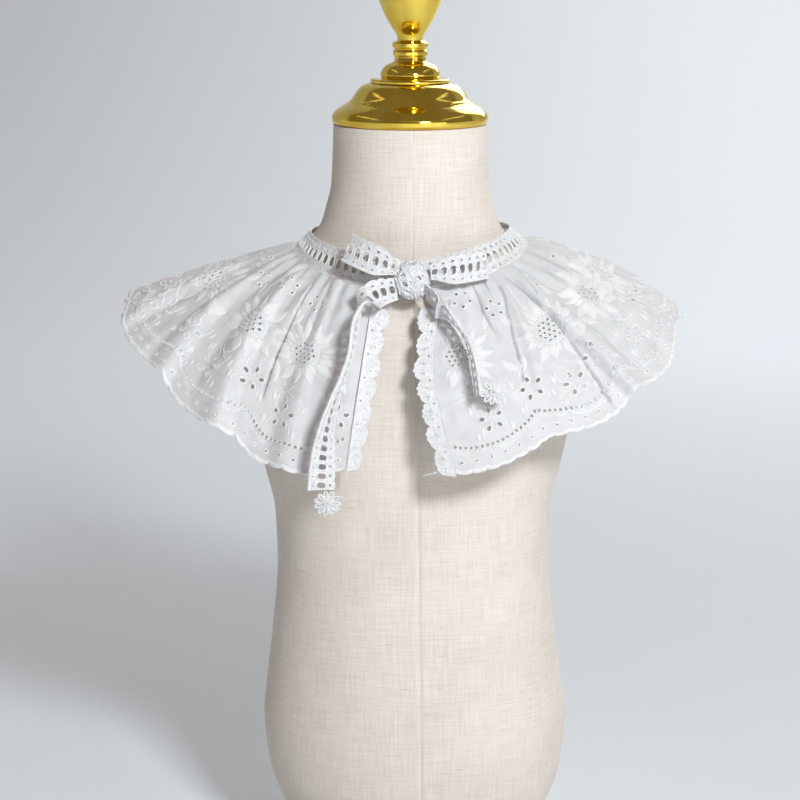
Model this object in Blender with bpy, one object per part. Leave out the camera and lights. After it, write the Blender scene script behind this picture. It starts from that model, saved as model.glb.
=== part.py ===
"""Detachable lace collar, tied in a bow on a child's limbless linen dress form.

The collar is one gathered cape of cotton in a wall, open at the front, hung from a ladder-lace
neckband. Two scalloped trims edge its front opening, and the neckband's ends are tied in a bow of
two loops and two tails, each tail with a small flower at its end. The form is a padded torso with
a turned neck cap and finial. Metres, +Z up, the front faces -Y. Places are measured from the
form's upright axis, which stands at FORM_AXIS.
"""
import math

import bpy
import numpy as np

# The form's upright axis, set so that the middle of the whole object's box is on the origin
FORM_AXIS = (0.0039, -0.0057)

# Gap between pieces that touch
GAP = 0.0003

# Short steps along a surface or a route, for the directions along and across it
SHARE_STEP = 0.002
TURN_STEP = 0.5
ROUTE_STEP = 0.0004

# The form: sections from the flat base up to the neck's top. The photo shows the outline above and
# below the collar. Under the collar it is drawn in plainly
TORSO_COLUMNS = ("height", "half_width", "half_depth", "roundness", "backward")
TORSO_SECTIONS = (
    (0.0000, 0.0620, 0.0500, 2.1, 0.000),
    (0.0040, 0.0690, 0.0560, 2.1, 0.000),
    (0.0120, 0.0757, 0.0620, 2.1, 0.000),
    (0.0293, 0.0830, 0.0680, 2.1, 0.000),
    (0.0540, 0.0908, 0.0740, 2.2, 0.000),
    (0.0830, 0.0936, 0.0770, 2.2, 0.000),
    (0.1114, 0.0907, 0.0760, 2.2, 0.000),
    (0.1404, 0.0870, 0.0735, 2.2, 0.000),
    (0.1838, 0.0833, 0.0700, 2.2, 0.000),
    (0.2128, 0.0841, 0.0700, 2.2, 0.000),
    (0.2417, 0.0902, 0.0712, 2.2, 0.000),
    (0.2700, 0.0970, 0.0720, 2.2, 0.000),
    (0.3050, 0.1070, 0.0700, 2.1, 0.001),
    (0.3300, 0.1110, 0.0660, 1.9, 0.002),
    (0.3420, 0.1095, 0.0630, 1.75, 0.003),
    (0.3505, 0.1045, 0.0600, 1.6, 0.003),
    (0.3580, 0.0967, 0.0570, 1.55, 0.003),
    (0.3660, 0.0830, 0.0545, 1.6, 0.003),
    (0.3735, 0.0705, 0.0525, 1.7, 0.003),
    (0.3820, 0.0596, 0.0510, 1.85, 0.003),
    (0.3884, 0.0542, 0.0500, 2.0, 0.002),
    (0.4000, 0.0505, 0.0485, 2.0, 0.001),
    (0.4150, 0.0472, 0.0470, 2.0, 0.000),
    (0.4491, 0.0458, 0.0458, 2.0, 0.000),
)
TORSO_SIDES = 36
TORSO_LEAN = 0.0100  # sideways metres for each metre below the neck's foot
LEAN_FROM = 0.3800

# Turned pieces: radius and height along the outer profile, bottom to top
CAP_PROFILE = (
    (0.0452, 0.4494), (0.0466, 0.4510), (0.0469, 0.4532), (0.0460, 0.4556), (0.0440, 0.4579),
    (0.0405, 0.4602), (0.0371, 0.4622), (0.0360, 0.4634), (0.0352, 0.4640), (0.0344, 0.4650),
    (0.0331, 0.4672), (0.0313, 0.4696), (0.0286, 0.4720), (0.0248, 0.4736),
)
FINIAL_PROFILE = (
    (0.0236, 0.4739), (0.0238, 0.4752), (0.0228, 0.4762), (0.0171, 0.4764), (0.0178, 0.4787),
    (0.0166, 0.4817), (0.0140, 0.4842), (0.0110, 0.4856), (0.0095, 0.4868), (0.0094, 0.4890),
    (0.0103, 0.4903), (0.0103, 0.4920), (0.0094, 0.4934), (0.0106, 0.4950), (0.0106, 0.4968),
    (0.0092, 0.4980), (0.0075, 0.4989), (0.0080, 0.5011), (0.0113, 0.5066), (0.0139, 0.5110),
    (0.0171, 0.5177), (0.0192, 0.5235), (0.0204, 0.5290), (0.0205, 0.5340), (0.0193, 0.5400),
    (0.0163, 0.5460), (0.0115, 0.5500), (0.0055, 0.5522),
)
CAP_SIDES = 28
FINIAL_SIDES = 18

# The cape: seam and hem are rings round the form, by an angle that runs from the front (0) over the
# wearer's left side, which is the viewer's right (90), and the back (180), to the front again
CLOTH = 0.0010
SEAM_HALF_WIDTH = 0.0700
SEAM_DEPTH_FRONT = 0.0650
SEAM_DEPTH_BACK = 0.0620
SEAM_ANGLES = (8.6, 342.8)
HEIGHT_COLUMNS = ("angle", "height")
SEAM_HEIGHTS = (
    (0, 0.3585), (30, 0.3625), (60, 0.3695), (90, 0.3757), (135, 0.3745), (180, 0.3745),
)
SEAM_TILT = 0.0015  # the seam stands this much higher on the viewer's right, and lower on the left
HEM_HALF_WIDTH_RIGHT = 0.1610
HEM_HALF_WIDTH_LEFT = 0.1712
HEM_DEPTH_FRONT = 0.1050
HEM_DEPTH_BACK = 0.1250
HEM_ROUNDNESS = 2.2
HEM_ANGLES = (7.6, 349.2)
HEM_HEIGHTS = (
    (0, 0.2575), (7, 0.2585), (14, 0.2642), (21, 0.2710), (27.5, 0.2768), (33, 0.2825), (40, 0.2867),
    (47.5, 0.2925), (53, 0.2990), (60, 0.3060), (67, 0.3120), (73, 0.3210), (80, 0.3275), (90, 0.3310),
    (107, 0.3330), (140, 0.3180), (180, 0.2930), (220, 0.3200), (253, 0.3390), (268, 0.3400),
    (279, 0.3340), (285, 0.3280), (295, 0.3190), (302, 0.3090), (309, 0.2980), (314, 0.2925),
    (319, 0.2845), (325, 0.2765), (331, 0.2665), (334, 0.2652), (339, 0.2618), (343, 0.2602),
    (360, 0.2600),
)
SEAM_LENGTH = 0.400
HEM_LENGTH = 0.980
SLANT = 0.110
CAPE_COLUMNS = 164
CAPE_ROWS = 8
CAPE_TOP = 0.010  # share of the way down where the cloth starts, clear of the neckband

# Scallops of the hem, each a lobe between two cusps, by the angles of the cusps
SCALLOP_CUSPS = (5.5, 27.5, 51.5, 80, 108, 133.5, 155.5, 176, 196.5, 218, 244, 273, 303.5, 325.5, 350)
SCALLOP_DEPTH = 0.0055
LOBE_FULLNESS = 0.8
LOBE_MIDDLE = 0.6

# How far the cloth stands out between seam and hem, and how the right front edge bows
BULGE_MEAN = 0.0040
BULGE_TO_THE_RIGHT = 0.0030
EDGE_BOW_COLUMNS = ("down", "sideways")
EDGE_BOW = (
    (0.0, 0.0), (0.17, 0.0020), (0.30, -0.0012), (0.45, -0.0042), (0.70, -0.0035), (1.0, 0.0),
)
EDGE_BOW_REACH = 0.045

# Gathers along the seam, uneven in height and in how far down they run
GATHERS = 41
GATHER_COLUMNS = ("down", "height")
GATHER_HEIGHTS = ((0.0, 0.0007), (0.07, 0.0021), (0.25, 0.0018), (0.55, 0.0006), (0.85, 0.0))
GATHER_UNEVENNESS = 0.25
UNEVEN_TURNS = (23.0, 61.0)
GATHER_REACH = 0.35
REACH_TURNS = 37.0

# Soft waves of the hem, two sets added together
HEM_WAVE_HEIGHT = 0.0026
HEM_WAVE_MEAN = 0.5
HEM_WAVE_COLUMNS = ("waves", "share", "phase")
HEM_WAVES = ((9, 0.3, 0.7), (5, 0.2, 2.1))

# Folds: crest angle at seam and hem, the stretch that the fold runs (0 seam, 1 hem, past 1 it does
# not fade), its half width and height, and its lean (positive: steep on the side of lower angles)
FOLD_AT_SEAM = 0.45  # share of its hem width and height that a fold has at the seam
FOLD_FULL_AT = 0.8
FOLD_FADE_IN = 0.22
FOLD_FADE_OUT = 0.30
FOLD_COLUMNS = ("seam_angle", "hem_angle", "start", "end", "width", "height", "lean")
FOLDS = (
    (33.0, 22.0, 0.02, 0.50, 0.0060, 0.0026, 0.20),
    (41.0, 27.0, 0.05, 0.85, 0.0070, 0.0034, 0.35),
    (47.5, 51.0, 0.00, 1.60, 0.0120, 0.0072, 0.55),
    (59.0, 66.0, 0.00, 0.60, 0.0070, 0.0030, 0.10),
    (77.0, 79.0, 0.00, 0.55, 0.0080, 0.0030, -0.20),
    (92.0, 96.0, 0.10, 1.60, 0.0130, 0.0034, 0.20),
    (112.0, 115.0, 0.00, 1.10, 0.0110, 0.0036, -0.40),
    (131.0, 136.0, 0.05, 1.60, 0.0140, 0.0056, 0.30),
    (152.0, 150.0, 0.00, 0.80, 0.0090, 0.0036, 0.10),
    (170.0, 171.0, 0.00, 1.60, 0.0150, 0.0060, -0.35),
    (191.0, 196.0, 0.08, 1.20, 0.0120, 0.0046, 0.25),
    (212.0, 213.0, 0.00, 1.60, 0.0120, 0.0062, 0.40),
    (233.0, 238.0, 0.00, 0.90, 0.0100, 0.0040, -0.10),
    (252.0, 258.0, 0.05, 1.60, 0.0140, 0.0040, -0.30),
    (268.0, 281.0, 0.00, 1.15, 0.0110, 0.0038, 0.15),
    (283.0, 303.0, 0.00, 1.60, 0.0130, 0.0048, -0.25),
    (301.0, 322.0, 0.00, 1.60, 0.0170, 0.0078, -0.45),
    (325.0, 338.0, 0.00, 1.60, 0.0100, 0.0048, -0.35),
)

# The neckband: its top edge, its ladder of windows, and where its ends go under the knot
BAND_TOP_HALF_WIDTH = 0.0600
BAND_TOP_DEPTH_FRONT = 0.0580
BAND_TOP_DEPTH_BACK = 0.0545
BAND_RISE_COLUMNS = ("angle", "rise")
BAND_RISES = ((0, 0.0150), (30, 0.0155), (60, 0.0130), (90, 0.0100), (135, 0.0110), (180, 0.0125))
BAND_ENDS = (3.2, 356.8)
BAND_JOIN = (179.85, 180.15)
BAND_PITCH_ANGLE = 4.45
LACE = 0.0010

# Ladder lace: shares of the width from the lower edge to the window and to its top, the window's
# share of a pitch, and the rise of the picots along the upper edge
LADDER_PITCH = 0.0053
LADDER_ROWS = (0.0, 0.31, 0.70, 1.0)
LADDER_WINDOW = 0.74
PICOT = 0.0009

# The bow: knot, loops and tails
TIE_WIDTH = 0.0155
LOOP_PINCH = 0.55  # share of the width that a loop keeps at the knot
TAIL_PINCH = 0.80
PINCH_LENGTH = 0.014
KNOT_MIDDLE = (0.0012, -0.0706, 0.3658)
KNOT_SIZE = (0.0185, 0.0125, 0.0205)
KNOT_SIDES = 20
KNOT_RINGS = 9
KNOT_STRANDS = 3
KNOT_STRAND_HEIGHT = 0.10
KNOT_POLE = 0.06
KNOT_FULLNESS = 0.75

ROUTE_COLUMNS = ("x", "y", "z", "up_x", "up_y", "up_z")
LOOP_ROUTES = {
    "loop_left": (
        (-0.0069, -0.0715, 0.3729, 0.36, 0.0, 0.93),
        (-0.0180, -0.0715, 0.3764, 0.42, 0.0, 0.91),
        (-0.0280, -0.0685, 0.3800, 0.46, 0.0, 0.88),
        (-0.0352, -0.0635, 0.3828, 0.48, 0.0, 0.87),
    ),
    "loop_right": (
        (0.0111, -0.0720, 0.3706, -0.02, 0.0, 1.0),
        (0.0220, -0.0712, 0.3716, -0.06, 0.0, 1.0),
        (0.0340, -0.0662, 0.3724, -0.12, 0.0, 0.99),
        (0.0430, -0.0602, 0.3731, -0.17, 0.0, 0.98),
    ),
}
LOOP_HALF_GAP = 0.0014
LOOP_PUFF = 0.0008
LOOP_TURN_STEPS = 4

TAIL_ROUTES = {
    "tail_left": (
        (-0.0082, -0.0718, 0.3606, 0.20, 0.10, 0.97),
        (-0.0185, -0.0765, 0.3588, 0.35, 0.30, 0.89),
        (-0.0262, -0.0822, 0.3535, 0.42, 0.75, 0.55),
        (-0.0312, -0.0878, 0.3440, 0.25, 0.97, 0.20),
        (-0.0336, -0.0933, 0.3293, 0.20, 0.98, 0.12),
        (-0.0380, -0.0990, 0.3148, 0.26, 0.95, 0.10),
        (-0.0428, -0.1048, 0.3024, 0.34, 0.92, 0.10),
        (-0.0476, -0.1110, 0.2866, 0.52, 0.84, 0.10),
        (-0.0500, -0.1140, 0.2697, 0.80, 0.58, 0.04),
        (-0.0510, -0.1145, 0.2520, 0.93, 0.35, 0.02),
    ),
    "tail_right": (
        (0.0087, -0.0728, 0.3592, -0.50, 0.05, 0.86),
        (0.0160, -0.0800, 0.3540, -0.62, 0.35, 0.70),
        (0.0240, -0.0874, 0.3455, -0.40, 0.86, 0.25),
        (0.0318, -0.0930, 0.3345, -0.22, 0.96, 0.10),
        (0.0352, -0.0970, 0.3247, -0.16, 0.98, 0.02),
        (0.0370, -0.1010, 0.3139, -0.16, 0.98, 0.02),
        (0.0382, -0.1040, 0.3040, -0.18, 0.98, 0.02),
    ),
}

# Flowers at the tails' ends
FLOWER_RADIUS = 0.0074
FLOWER_THICKNESS = 0.0022
FLOWER_PETALS = 12
PETAL_OUTLINE = (0.84, 1.0)
FLOWER_RING_COLUMNS = ("radius", "depth")  # shares of the flower's radius and thickness
FLOWER_RINGS = ((0.40, 0.50), (1.00, 0.25), (1.00, -0.35), (0.40, -0.50))
FLOWER_MIDDLES = {
    "pendant_left": (-0.0475, -0.1150, 0.2443),
    "pendant_right": (0.0467, -0.1060, 0.3070),
}

# Trims down the front edges: a narrow strip with a row of fans
TRIM_SPAN = (0.11, 1.03)
TRIM_STRIP = 0.0050
TRIM_FAN = 0.0060
TRIM_FANS = 7
TRIM_THICKNESS = 0.0014
FAN_OUTLINE = (0.25, 0.85, 1.0, 0.85)
TRIM_TURN_LEFT = (10.0, 48.0)
TRIM_TURN_RIGHT = (0.0, 8.0)


def columns(names, rows):
    """The table's columns by name."""
    return {name: np.array(values, dtype=float) for name, values in zip(names, zip(*rows))}


def smooth(known_at, known, at):
    """A smooth curve through the known values that never runs past them."""
    known_at, known, at = (np.asarray(values, dtype=float) for values in (known_at, known, at))
    steps = np.diff(known_at)
    slopes = np.diff(known) / steps
    before, after = slopes[:-1], slopes[1:]
    same_way = before * after > 0.0
    blend = np.where(same_way, before + after, 1.0)
    middle = np.where(same_way, 2.0 * before * after / blend, 0.0)
    slope = np.concatenate(([slopes[0]], middle, [slopes[-1]]))
    at = np.clip(at, known_at[0], known_at[-1])
    first = np.clip(np.searchsorted(known_at, at, side="right") - 1, 0, len(steps) - 1)
    part = (at - known_at[first]) / steps[first]
    rest = 1.0 - part
    return (known[first] * (1.0 + 2.0 * part) * rest**2
            + known[first + 1] * part**2 * (3.0 - 2.0 * part)
            + steps[first] * (slope[first] * part * rest**2 - slope[first + 1] * part**2 * rest))


def ease(amount):
    """0 below 0, 1 above 1, and a soft step between."""
    amount = np.clip(amount, 0.0, 1.0)
    return amount * amount * (3.0 - 2.0 * amount)


def unit(vectors):
    """The vectors at length one."""
    return vectors / np.linalg.norm(vectors, axis=-1, keepdims=True)


def finish(name, colour, roughness, metallic=0.0):
    """A plain material for one kind of sub-part."""
    material = bpy.data.materials.new(name)
    material.use_nodes = True
    shader = material.node_tree.nodes["Principled BSDF"]
    shader.inputs["Base Color"].default_value = (*colour, 1.0)
    shader.inputs["Roughness"].default_value = roughness
    shader.inputs["Metallic"].default_value = metallic
    return material


def add_object(name, points, faces, material):
    """One named object, with its points given from the form's axis and set at their place."""
    used, places = np.unique(np.array(faces), return_inverse=True)
    placed = np.array(points)[used] + np.array((*FORM_AXIS, 0.0))
    mesh = bpy.data.meshes.new(name)
    mesh.from_pydata(placed.tolist(), [], places.reshape(-1, 3).tolist())
    mesh.materials.append(material)
    mesh.shade_smooth()
    mesh.set_sharp_from_angle(angle=math.radians(35.0))
    made = bpy.data.objects.new(name, mesh)
    bpy.context.scene.collection.objects.link(made)
    return made


def stacked_rings(rings):
    """Faces of a closed body of rings, bottom to top, with a middle point at each end."""
    levels, sides, _ = rings.shape
    points = np.concatenate([rings.reshape(-1, 3), rings[:1].mean(axis=1), rings[-1:].mean(axis=1)])
    foot, head = levels * sides, levels * sides + 1
    last = (levels - 1) * sides
    faces = []
    for side in range(sides):
        beside = (side + 1) % sides
        faces.append((foot, beside, side))
        faces.append((head, last + side, last + beside))
        for level in range(levels - 1):
            low, high = level * sides, (level + 1) * sides
            faces.append((low + side, low + beside, high + beside))
            faces.append((low + side, high + beside, high + side))
    return points, faces


def wall(inner, outer, kept=None):
    """Faces of a closed wall between two grids, cut through where a cell isn't kept."""
    rows, cols, _ = inner.shape
    if kept is None:
        kept = np.ones((rows - 1, cols - 1), dtype=bool)
    points = np.concatenate([inner.reshape(-1, 3), outer.reshape(-1, 3)])
    across = np.cross(inner[1, 0] - inner[0, 0], inner[0, 1] - inner[0, 0])
    outward = float(np.dot(across, outer[0, 0] - inner[0, 0])) > 0.0
    count = rows * cols
    padded = np.pad(kept, 1)
    faces = []
    for row, col in np.argwhere(kept):
        corners = [row * cols + col, (row + 1) * cols + col,
                   (row + 1) * cols + col + 1, row * cols + col + 1]
        beyond = [padded[row + 1, col], padded[row + 2, col + 1],
                  padded[row + 1, col + 2], padded[row, col + 1]]
        a, b, c, d = corners
        patch = [(a + count, b + count, c + count), (a + count, c + count, d + count),
                 (a, c, b), (a, d, c)]
        for edge, joined in enumerate(beyond):
            if joined:
                continue
            start, end = corners[edge], corners[(edge + 1) % 4]
            patch.append((start + count, start, end))
            patch.append((start + count, end, end + count))
        faces.extend(patch if outward else [face[::-1] for face in patch])
    return points, faces


def ring_place(angle, half_width, depth, roundness):
    """A point of a rounded ring, by its angle in degrees from the front."""
    turn = np.radians(angle)
    side, front = np.sin(turn), np.cos(turn)
    power = 2.0 / roundness
    x = half_width * np.sign(side) * np.abs(side) ** power
    y = -depth * np.sign(front) * np.abs(front) ** power
    return x, y


def from_front(angle):
    """How far an angle is from the front, 0 to 180, on either side."""
    return np.abs((angle + 180.0) % 360.0 - 180.0)


def seam_points(angle):
    """The seam where the cape hangs from the neckband."""
    depth = np.where(np.cos(np.radians(angle)) > 0.0, SEAM_DEPTH_FRONT, SEAM_DEPTH_BACK)
    x, y = ring_place(angle, SEAM_HALF_WIDTH, depth, 2.0)
    heights = columns(HEIGHT_COLUMNS, SEAM_HEIGHTS)
    z = smooth(heights["angle"], heights["height"], from_front(angle))
    return np.stack([x, y, z + SEAM_TILT * np.sin(np.radians(angle))], -1)


def hem_points(angle):
    """The hem's ring, without its scallops."""
    turn = np.radians(angle)
    half_width = np.where(np.sin(turn) > 0.0, HEM_HALF_WIDTH_RIGHT, HEM_HALF_WIDTH_LEFT)
    depth = np.where(np.cos(turn) > 0.0, HEM_DEPTH_FRONT, HEM_DEPTH_BACK)
    x, y = ring_place(angle, half_width, depth, HEM_ROUNDNESS)
    heights = columns(HEIGHT_COLUMNS, HEM_HEIGHTS)
    return np.stack([x, y, smooth(heights["angle"], heights["height"], angle % 360.0)], -1)


def girth(down):
    """The length of the cloth round the form, at a share of the way down."""
    return SEAM_LENGTH + (HEM_LENGTH - SEAM_LENGTH) * down


def cape_base(around, down):
    """The ruled surface from seam to hem, with the scallops and the bow of the front edge."""
    bow = columns(EDGE_BOW_COLUMNS, EDGE_BOW)
    from_edge = np.maximum(around, 0.0) * girth(down)
    shift = smooth(bow["down"], bow["sideways"], down) * np.exp(-((from_edge / EDGE_BOW_REACH) ** 2))
    around = around + shift / girth(down)
    seam_angle = SEAM_ANGLES[0] + (SEAM_ANGLES[1] - SEAM_ANGLES[0]) * around
    hem_angle = HEM_ANGLES[0] + (HEM_ANGLES[1] - HEM_ANGLES[0]) * around
    scallop = np.interp(hem_angle, SCALLOP_CUSPS, np.arange(len(SCALLOP_CUSPS)))
    lobe = np.abs(np.sin(np.pi * scallop)) ** LOBE_FULLNESS
    reach = down + (lobe - LOBE_MIDDLE) * (SCALLOP_DEPTH / SLANT) * down**3
    seam, hem = seam_points(seam_angle), hem_points(hem_angle)
    return seam + (hem - seam) * reach[..., None]


def fold_lift(around, down):
    """How far the bulge, the gathers, the folds and the hem's waves lift the cloth."""
    around = np.clip(around, 0.0, 1.0)
    hem_angle = HEM_ANGLES[0] + (HEM_ANGLES[1] - HEM_ANGLES[0]) * around
    bulge = BULGE_MEAN + BULGE_TO_THE_RIGHT * np.sin(np.radians(hem_angle))
    lift = bulge * 4.0 * down * (1.0 - np.clip(down, 0.0, 1.0))
    gathers = columns(GATHER_COLUMNS, GATHER_HEIGHTS)
    uneven = np.sin(UNEVEN_TURNS[0] * around + 1.0) * np.sin(UNEVEN_TURNS[1] * around)
    uneven = 1.0 - GATHER_UNEVENNESS + GATHER_UNEVENNESS * uneven
    reach = down * (1.0 + GATHER_REACH * np.sin(REACH_TURNS * around))
    crest = 0.5 - 0.5 * np.cos(2.0 * np.pi * GATHERS * around)
    lift = lift + smooth(gathers["down"], gathers["height"], reach) * crest * uneven
    wave = HEM_WAVE_MEAN
    for row in HEM_WAVES:
        set_of = dict(zip(HEM_WAVE_COLUMNS, row))
        turn = 2.0 * np.pi * set_of["waves"] * around + set_of["phase"]
        wave = wave + set_of["share"] * np.sin(turn)
    lift = lift + HEM_WAVE_HEIGHT * wave * ease(down) ** 2
    for fold in FOLDS:
        lift = lift + one_fold(dict(zip(FOLD_COLUMNS, fold)), around, down)
    return lift


def one_fold(fold, around, down):
    """A fold is a rounded ridge along its crest, steeper on one side."""
    at_seam = (fold["seam_angle"] - SEAM_ANGLES[0]) / (SEAM_ANGLES[1] - SEAM_ANGLES[0])
    at_hem = (fold["hem_angle"] - HEM_ANGLES[0]) / (HEM_ANGLES[1] - HEM_ANGLES[0])
    beside = (around - (at_seam + (at_hem - at_seam) * down)) * girth(down)
    narrowing = FOLD_AT_SEAM + (1.0 - FOLD_AT_SEAM) * ease(down / FOLD_FULL_AT)
    side = np.where(beside < 0.0, 1.0 - fold["lean"], 1.0 + fold["lean"])
    share = np.clip(np.abs(beside) / (fold["width"] * side * narrowing), 0.0, 1.0)
    begun = ease((down - fold["start"]) / FOLD_FADE_IN + 0.5)
    ended = ease((down - fold["end"]) / FOLD_FADE_OUT + 1.0)
    along = begun * (1.0 - ended)
    return fold["height"] * narrowing * along * (0.5 + 0.5 * np.cos(np.pi * share))


def cape_outward(around, down):
    """The direction square to the ruled surface, away from the form."""
    across = cape_base(around + SHARE_STEP, down) - cape_base(around - SHARE_STEP, down)
    along = cape_base(around, down + SHARE_STEP) - cape_base(around, down - SHARE_STEP)
    return unit(np.cross(along, across))


def cape_points(around, down, lift=0.0):
    """The cloth's inner face, or points lifted off it."""
    raised = fold_lift(around, down) + lift
    return cape_base(around, down) + cape_outward(around, down) * raised[..., None]


def make_torso(material):
    """The padded torso and neck of the form, flat under its base."""
    section = columns(TORSO_COLUMNS, TORSO_SECTIONS)
    angle = np.arange(TORSO_SIDES)[None, :] * (360.0 / TORSO_SIDES)
    x, y = ring_place(angle, section["half_width"][:, None], section["half_depth"][:, None],
                      section["roundness"][:, None])
    lean = TORSO_LEAN * np.maximum(LEAN_FROM - section["height"], 0.0)
    z = np.repeat(section["height"][:, None], TORSO_SIDES, axis=1)
    rings = np.stack([x + lean[:, None], y + section["backward"][:, None], z], -1)
    add_object("form_torso", *stacked_rings(rings), material)


def make_turned(name, profile, sides, material):
    """A piece turned on the lathe, closed flat at both ends."""
    radius, height = (np.array(values) for values in zip(*profile))
    turn = np.arange(sides) * (2.0 * math.pi / sides)
    rings = np.stack([np.outer(radius, np.sin(turn)), -np.outer(radius, np.cos(turn)),
                      np.repeat(height[:, None], sides, axis=1)], -1)
    add_object(name, *stacked_rings(rings), material)


def make_cape(material):
    """The gathered cape, one wall from the right front edge round the back to the left one."""
    around, down = np.meshgrid(np.linspace(0.0, 1.0, CAPE_COLUMNS + 1),
                               np.linspace(CAPE_TOP, 1.0, CAPE_ROWS + 1), indexing="ij")
    add_object("cape", *wall(cape_points(around, down), cape_points(around, down, CLOTH)), material)


def band_surface(angle, up):
    """The neckband's inner face: from just over the seam to the top edge."""
    low = seam_points(angle)
    depth = np.where(np.cos(np.radians(angle)) > 0.0, BAND_TOP_DEPTH_FRONT, BAND_TOP_DEPTH_BACK)
    x, y = ring_place(angle, BAND_TOP_HALF_WIDTH, depth, 2.0)
    rises = columns(BAND_RISE_COLUMNS, BAND_RISES)
    z = low[..., 2] + smooth(rises["angle"], rises["rise"], from_front(angle))
    high = np.stack([x, y, z], -1)
    rise = high - low
    return low + GAP * unit(rise) + rise * up[..., None]


def ladder_cells(bars):
    """Which cells of a ladder are cloth: all but the middle row between two bars."""
    kept = np.ones((2 * bars - 1, len(LADDER_ROWS) - 1), dtype=bool)
    kept[1::2, 1] = False
    return kept


def ladder_places(bars, pitch, start):
    """Where each bar of a ladder starts and ends."""
    first = start + pitch * np.arange(bars)
    return np.stack([first, first + pitch * (1.0 - LADDER_WINDOW)], -1).reshape(-1)


def make_neckband(name, start, end, material):
    """One half of the neckband, its windows cut through and its upper edge in picots."""
    bars = int(round(abs(end - start) / BAND_PITCH_ANGLE)) + 1
    pitch = (end - start) / (bars - 1 + (1.0 - LADDER_WINDOW))
    places = ladder_places(bars, pitch, start)
    angle, up = np.meshgrid(places, np.array(LADDER_ROWS), indexing="ij")
    inner = band_surface(angle, up)
    across = band_surface(angle + TURN_STEP, up) - band_surface(angle - TURN_STEP, up)
    along = band_surface(angle, up + SHARE_STEP) - band_surface(angle, up - SHARE_STEP)
    outward = unit(np.cross(across, along))
    inner[1::4, -1] += unit(along)[1::4, -1] * PICOT
    inner[2::4, -1] += unit(along)[2::4, -1] * PICOT
    add_object(name, *wall(inner, inner + outward * LACE, ladder_cells(bars)), material)


def route_frame(route, at):
    """Middle, width direction and facing direction along a tie's route, by shares of its length."""
    table = columns(ROUTE_COLUMNS, route)
    middle = np.stack([table["x"], table["y"], table["z"]], -1)
    stride = np.concatenate(([0.0], np.cumsum(np.linalg.norm(np.diff(middle, axis=0), axis=1))))
    place = np.asarray(at) * stride[-1]
    curve = {name: smooth(stride, values, place) for name, values in table.items()}
    further = np.minimum(place + ROUTE_STEP, stride[-1])
    nearer = np.maximum(place - ROUTE_STEP, 0.0)
    ahead = {name: smooth(stride, table[name], further) for name in "xyz"}
    behind = {name: smooth(stride, table[name], nearer) for name in "xyz"}
    forward = unit(np.stack([ahead[name] - behind[name] for name in "xyz"], -1))
    upward = np.stack([curve["up_x"], curve["up_y"], curve["up_z"]], -1)
    upward = unit(upward - forward * np.sum(upward * forward, axis=-1, keepdims=True))
    facing = np.cross(forward, upward)
    return np.stack([curve[name] for name in "xyz"], -1), upward, facing, forward, stride[-1]


def tie_rows(along, pinch):
    """The rows across the tie, drawn together by the knot where the tie leaves it."""
    width = TIE_WIDTH * (pinch + (1.0 - pinch) * ease(np.asarray(along) / PINCH_LENGTH))
    return (np.array(LADDER_ROWS)[None, :] - 0.5) * width[:, None]


def make_tail(name, route, material):
    """A free end of the tie, a ladder along its route."""
    length = route_frame(route, [0.0])[4]
    bars = int(length / LADDER_PITCH) + 1
    pitch = length / (bars - 1 + (1.0 - LADDER_WINDOW))
    places = ladder_places(bars, pitch, 0.0) / length
    middle, upward, facing, _, _ = route_frame(route, places)
    across = tie_rows(places * length, TAIL_PINCH)
    flat = middle[:, None] + upward[:, None] * across[:, :, None]
    half = facing[:, None] * (0.5 * LACE)
    add_object(name, *wall(flat - half, flat + half, ladder_cells(bars)), material)


def make_loop(name, route, material):
    """A loop of the bow: the tie runs out, turns over at the tip and comes back behind."""
    length = route_frame(route, [0.0])[4]
    bars = int(length / LADDER_PITCH) + 1
    pitch = length / (bars - 1 + (1.0 - LADDER_WINDOW))
    out = ladder_places(bars, pitch, 0.0)
    turning = np.linspace(0.0, math.pi, LOOP_TURN_STEPS + 1)[1:-1]
    along = np.concatenate([out, np.full(len(turning), length), out[::-1]])
    turn = np.concatenate([np.zeros(len(out)), turning, np.full(len(out), math.pi)])
    middle, upward, facing, forward, _ = route_frame(route, along / length)
    toward_viewer = np.where(facing[:, 1:2] < 0.0, facing, -facing)
    half_gap = LOOP_HALF_GAP + LOOP_PUFF * np.sin(np.pi * along / length)
    across = tie_rows(along, LOOP_PINCH)
    faces = []
    for offset in (0.0, LACE):
        apart = (half_gap + offset)[:, None]
        shifted = middle + toward_viewer * np.cos(turn)[:, None] * apart \
            + forward * np.sin(turn)[:, None] * apart
        faces.append(shifted[:, None] + upward[:, None] * across[:, :, None])
    kept = np.ones((len(along) - 1, len(LADDER_ROWS) - 1), dtype=bool)
    kept[1:len(out) - 1:2, 1] = False
    kept[len(out) + len(turning) + 1::2, 1] = False
    add_object(name, *wall(*faces, kept), material)


def make_knot(material):
    """The knot, a lump wound round with slanting strands."""
    level = np.linspace(KNOT_POLE, 1.0 - KNOT_POLE, KNOT_RINGS) * math.pi
    turn = np.arange(KNOT_SIDES) * (2.0 * math.pi / KNOT_SIDES)
    level, turn = np.meshgrid(level[::-1], turn, indexing="ij")
    strand = np.cos(KNOT_STRANDS * (turn * 0.5 + level) * 2.0)
    size = 0.5 * (1.0 + KNOT_STRAND_HEIGHT * strand * np.sin(level))
    around = np.abs(np.sin(level)) ** KNOT_FULLNESS
    x = KNOT_SIZE[0] * size * around * np.sin(turn)
    y = -KNOT_SIZE[1] * size * around * np.cos(turn)
    z = KNOT_SIZE[2] * 0.5 * np.cos(level)
    rings = np.stack([x, y, z], -1) + np.array(KNOT_MIDDLE)
    add_object("knot", *stacked_rings(rings), material)


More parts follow.
